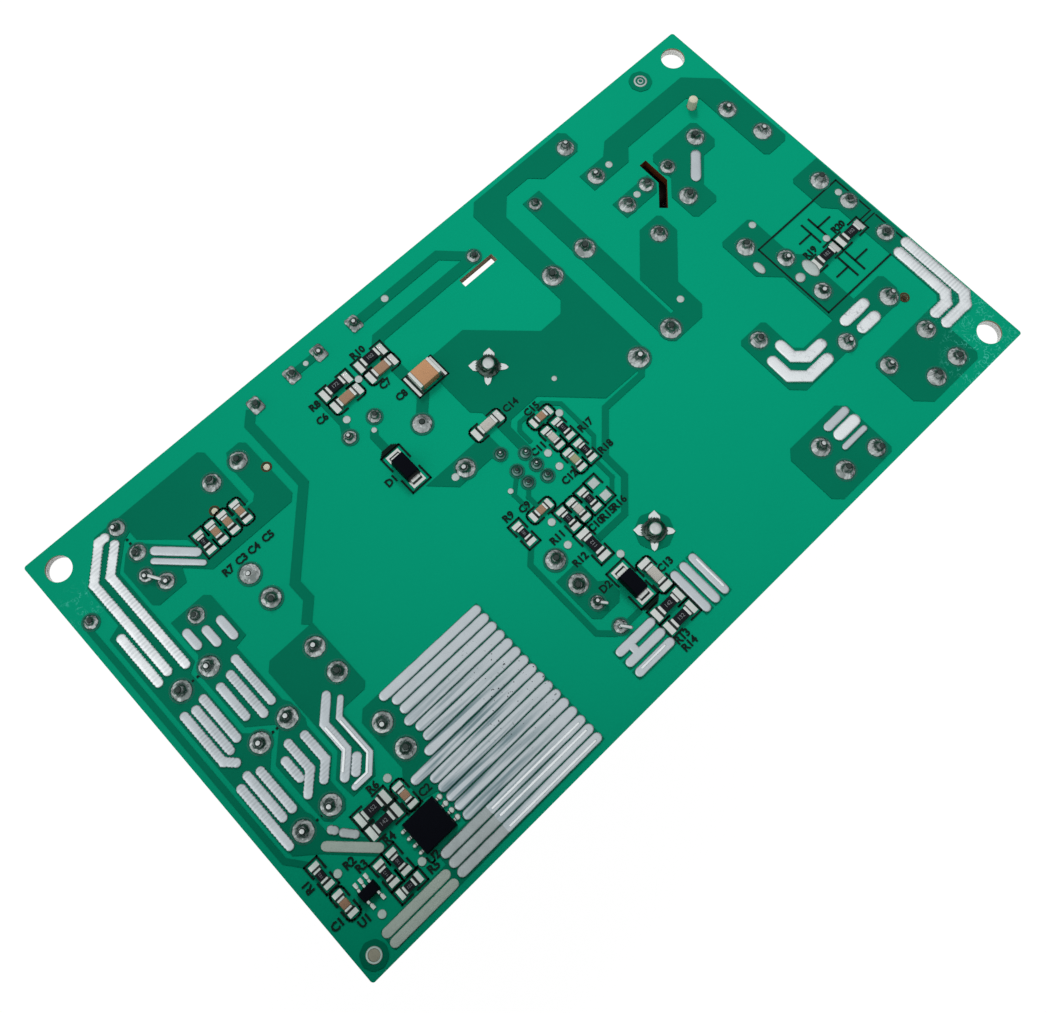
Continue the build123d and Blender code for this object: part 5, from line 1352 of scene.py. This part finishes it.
# %% Softened parts
ferrite_grey = new_finish("ferrite", (0.045, 0.045, 0.05), 0.5, drift=(0.2, 1.5), grain=(0.3, 0.2))
bobbin_black = new_finish("bobbin_plastic", (0.015, 0.015, 0.017), 0.45, drift=(0.1, 3.0), grain=(0.15, 0.2))
tape_yellow = new_finish("polyester_tape", (0.72, 0.44, 0.04), 0.28, drift=(0.08, 6.0), grain=(0.1, 0.6))
sink_metal = new_finish(
    "drawn_aluminium", (0.74, 0.75, 0.76), 0.36, metal=1.0, drift=(0.08, 4.0), grain=(0.25, 0.4))
tree = sink_metal.node_tree
draw_lines = new_node(tree, "Mapping", {"Scale": (1.0, 1.0, 0.04), "Vector": place_of(sink_metal)})
feed(tree, tree.nodes["speckle"], {"Vector": draw_lines.outputs["Vector"]})
spring_steel = new_finish("spring_steel", (0.60, 0.60, 0.61), 0.3, metal=1.0)
box_grey = new_finish("film_box", (0.52, 0.49, 0.38), 0.35, drift=(0.05, 6.0), grain=(0.15, 0.3))
nickel = new_finish("nickel_cap", (0.72, 0.70, 0.64), 0.18, metal=1.0)
nylon = new_finish("natural_nylon", (0.54, 0.52, 0.39), 0.4, drift=(0.06, 4.0), grain=(0.1, 0.3))
tab_tin = new_finish("tab_tin", (0.70, 0.69, 0.64), 0.28, metal=1.0, drift=(0.1, 2.0))
softened_parts = {
    "bridge_leads": (0.15, wire_paint), "bridge_rectifier": (0.30, plastic_black),
    "choke_bobbin": (0.12, bobbin_black), "choke_core": (0.30, ferrite_grey),
    "controller_clip": (0.10, spring_steel), "controller_leads": (0.08, wire_paint),
    "drum_core": (0.20, ferrite_grey), "fuse_leads": (0.20, wire_paint), "heatsink": (0.22, sink_metal),
    "line_capacitors": (0.50, box_grey), "mains_header_pins": (0.15, tab_tin), "mains_headers": (0.18, nylon),
    "output_header": (0.20, nylon), "output_header_pins": (0.15, tab_tin),
    "switching_controller": (0.20, plastic_black), "tab_terminals": (0.12, tab_tin),
    "transformer_bobbin": (0.18, bobbin_black), "transformer_core_left": (0.35, ferrite_grey),
    "transformer_core_right": (0.35, ferrite_grey), "transformer_tape": (0.25, tape_yellow),
    "transformer_winding": (0.20, copper_wire),
}
for node, (width, paint) in softened_parts.items():
    place_soft(node, width, paint, 2, 0.8)

# %% [markdown]
# The fuse is a glass tube with a wire inside and two nickelled caps. Tube, wire and caps are all spun about
# the fuse's long axis, which lies along Y.

# %% Fuse
glass_low, glass_high = box_mm("fuse_body")
cap_low, cap_high = box_mm("fuse_caps")
glass_radius = (glass_high.x - glass_low.x) / 2 - round_gap
cap_radius = (cap_high.x - cap_low.x) / 2 - round_gap
glass_half = (glass_high.y - glass_low.y) / 2
cap_half = (cap_high.y - cap_low.y) / 2
glass_wall, thread_radius = 0.5, 0.09
along_fuse = at(*(glass_low + glass_high) / 2) @ tipped(-90, "X")
tube, thread, caps = bmesh.new(), bmesh.new(), bmesh.new()
merge_in(tube, spun([
    (glass_radius - glass_wall, -glass_half), (glass_radius, -glass_half), (glass_radius, glass_half),
    (glass_radius - glass_wall, glass_half), (glass_radius - glass_wall, -glass_half),
], 40), along_fuse)
thread_side = [(0, -glass_half), (thread_radius, -glass_half), (thread_radius, glass_half), (0, glass_half)]
merge_in(thread, spun(thread_side, 8), along_fuse)
for side in (-1, 1):
    merge_in(caps, spun([(radius, side * out) for radius, out in (
        (0, cap_half), (cap_radius - 0.35, cap_half), (cap_radius, cap_half - 0.35),
        (cap_radius, glass_half + 0.3), (cap_radius - 0.15, glass_half), (0, glass_half),
    )], 40), along_fuse)
clear_glass = new_finish("fuse_glass", (0.96, 0.98, 0.97), 0.05, drift=(0.02, 3.0), grain=(0.02, 0.15))
feed(clear_glass.node_tree, clear_glass.node_tree.nodes["Principled BSDF"], {"Transmission Weight": 1.0})
place_piece("fuse_tube", tube, clear_glass, ["fuse_body"], sharp_angle=0.6)
place_piece("fuse_wire", thread, nickel, sharp_angle=0.6)
place_piece("fuse_caps_round", caps, nickel, ["fuse_caps"], sharp_angle=0.6)
